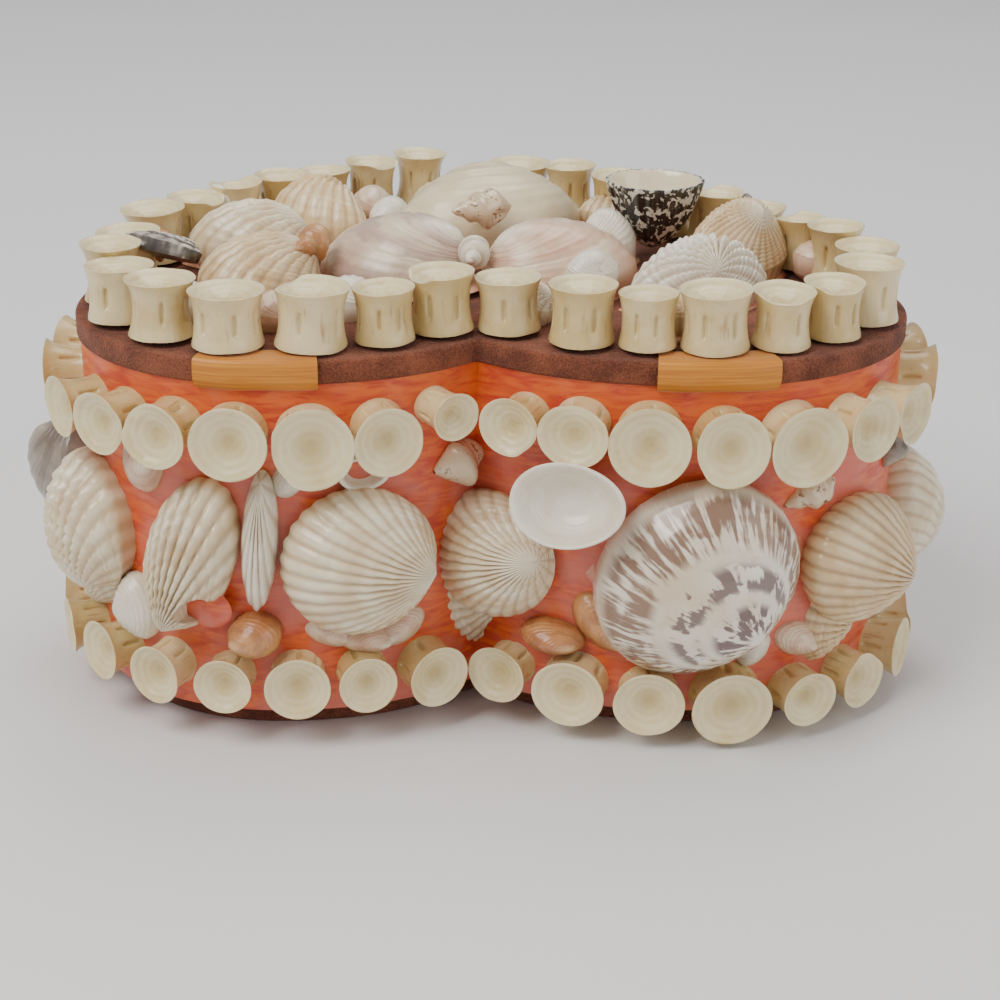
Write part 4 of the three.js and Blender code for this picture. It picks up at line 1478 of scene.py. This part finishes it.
def shell_finishes() -> dict[str, bpy.types.Material]:
    """The finishes of all the shells by a short name."""
    recipes = {
        "cockle": ShellFinish("cream_cockle"),
        "tan": ShellFinish("tan_cockle", tone(228, 206, 164), tone(206, 172, 122), tone(150, 108, 68)),
        "gold": ShellFinish("gold_cockle", tone(236, 220, 178), tone(224, 188, 128), tone(184, 136, 84)),
        "white": ShellFinish("white_shell", tone(240, 236, 222), tone(228, 218, 196), bands=0.12),
        "clam": ShellFinish(
            "cream_clam", tone(230, 216, 180), tone(220, 202, 164), band=tone(208, 186, 146), bands=0.3
        ),
        "lilac": ShellFinish(
            "lilac_clam", tone(218, 200, 172), tone(198, 168, 148), band=tone(166, 132, 122), bands=0.6
        ),
        "blush": ShellFinish(
            "blush_clam", tone(230, 206, 178), tone(216, 174, 146), band=tone(198, 148, 122), bands=0.45
        ),
        "amber": ShellFinish(
            "amber_shell", tone(204, 146, 92), tone(170, 104, 60), band=tone(128, 76, 46), beak=tone(220, 178, 130)
        ),
        "grey": ShellFinish(
            "grey_shell", tone(150, 138, 124), tone(112, 96, 84), tone(70, 56, 48), tone(84, 70, 62), tone(176, 166, 150)
        ),
        "striped": ShellFinish(
            "striped_shard", tone(214, 206, 190), tone(120, 108, 98), tone(46, 40, 38), tone(58, 50, 46), bands=0.9
        ),
        "blotched": BlotchedFinish(),
        "limpet": SpeckledFinish(
            "speckled_limpet", tone(40, 38, 36), tone(216, 212, 196), tone(232, 220, 190), 0.55, 0.56
        ),
        "speckled": SpeckledFinish(
            "spotted_snail", tone(224, 204, 172), tone(122, 78, 48), tone(214, 190, 156), 0.9, 0.6
        ),
    }
    return {name: recipe.material() for name, recipe in recipes.items()}


# ---- Studio ---------------------------------------------------------------------------------------


@dataclass
class Studio:
    """A pale floor, soft lights and the camera."""

    place: Vector = field(default_factory=lambda: Vector((-0.0055, -0.303, 0.1495)))
    right: Vector = field(default_factory=lambda: Vector((0.999745, -0.019599, 0.011221)))
    up: Vector = field(default_factory=lambda: Vector((-0.002550, 0.395696, 0.918378)))
    forward: Vector = field(default_factory=lambda: Vector((0.022440, 0.918172, -0.395546)))
    lens: float = 70.2

    def floor(self) -> None:
        """Lays the pale floor."""
        recipe = Recipe("pale_floor")
        obj = primitive(bpy.ops.mesh.primitive_plane_add, size=6.0)
        obj.name = "floor"
        obj.data.materials.append(recipe.finish(Base_Color=tone(228, 228, 230), Roughness=0.75))

    def lamp(self, name: str, place: tuple[float, float, float], size: float, power: float) -> None:
        """A square soft light that looks at the box."""
        light = bpy.data.lights.new(name, "AREA")
        light.shape, light.size, light.energy = "SQUARE", size, power
        light.color = (1.0, 0.96, 0.9)
        obj = bpy.data.objects.new(name, light)
        aim = Vector((0.0, 0.0, 0.04)) - Vector(place)
        obj.matrix_world = Matrix.Translation(place) @ aim.to_track_quat("-Z", "Y").to_matrix().to_4x4()
        bpy.context.collection.objects.link(obj)

    def camera(self) -> None:
        """Sets up the camera."""
        data = bpy.data.cameras.new("camera")
        data.lens, data.sensor_width = self.lens, 36.0
        data.clip_start = 0.01
        obj = bpy.data.objects.new("camera", data)
        turn = Matrix((self.right, self.up, -self.forward)).transposed().to_4x4()
        obj.matrix_world = Matrix.Translation(self.place) @ turn
        bpy.context.collection.objects.link(obj)
        bpy.context.scene.camera = obj

    def build(self) -> None:
        """Builds the whole studio."""
        self.floor()
        self.lamp("window", (-0.45, -0.35, 0.75), 0.5, 7.0)
        self.lamp("fill", (0.75, -0.5, 0.4), 0.7, 3.0)
        self.lamp("overhead", (0.1, 0.35, 0.9), 0.6, 4.0)
        world = bpy.data.worlds.new("room")
        world.use_nodes = True
        background = world.node_tree.nodes["Background"]
        background.inputs["Color"].default_value = (0.92, 0.94, 1.0, 1.0)
        background.inputs["Strength"].default_value = 0.45
        bpy.context.scene.world = world
        self.camera()


def broken_vertebra(maker: VertebraMaker, bone: bpy.types.Material) -> None:
    """The half-lost small vertebra at the back of the lid."""
    point, along, outward = LID_ROW_PATH.station(160.0, 59.6)
    frame = basis(along, -outward, UP, point)
    piece = maker.copy(5, 2.6, 5.2, 0.9, frame)
    settle(piece, "lid_vertebra_broken", bone, "bone", LID)


def main() -> None:
    """Builds the keepsake box, piece by piece."""
    logging.basicConfig(level=logging.INFO, format="%(name)s %(message)s")
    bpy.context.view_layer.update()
    bone = BoneFinish().material()
    card = CardFinish().material()
    CardWork(FeltFinish().material(), card).build()
    satin = SatinFinish().material()
    for name, middle in (("ribbon_left", -33.7), ("ribbon_right", 36.3)):
        Ribbon(name, middle, satin).build()
    maker = VertebraMaker()
    maker.build()
    for row in VERTEBRA_ROWS:
        row.build(maker, bone)
    broken_vertebra(maker, bone)
    for master in maker.masters:
        bpy.data.objects.remove(master)
    ShellWork(shell_finishes(), GlueFinish().material(), card).build()
    Studio().build()


if __name__ == "__main__":
    main()
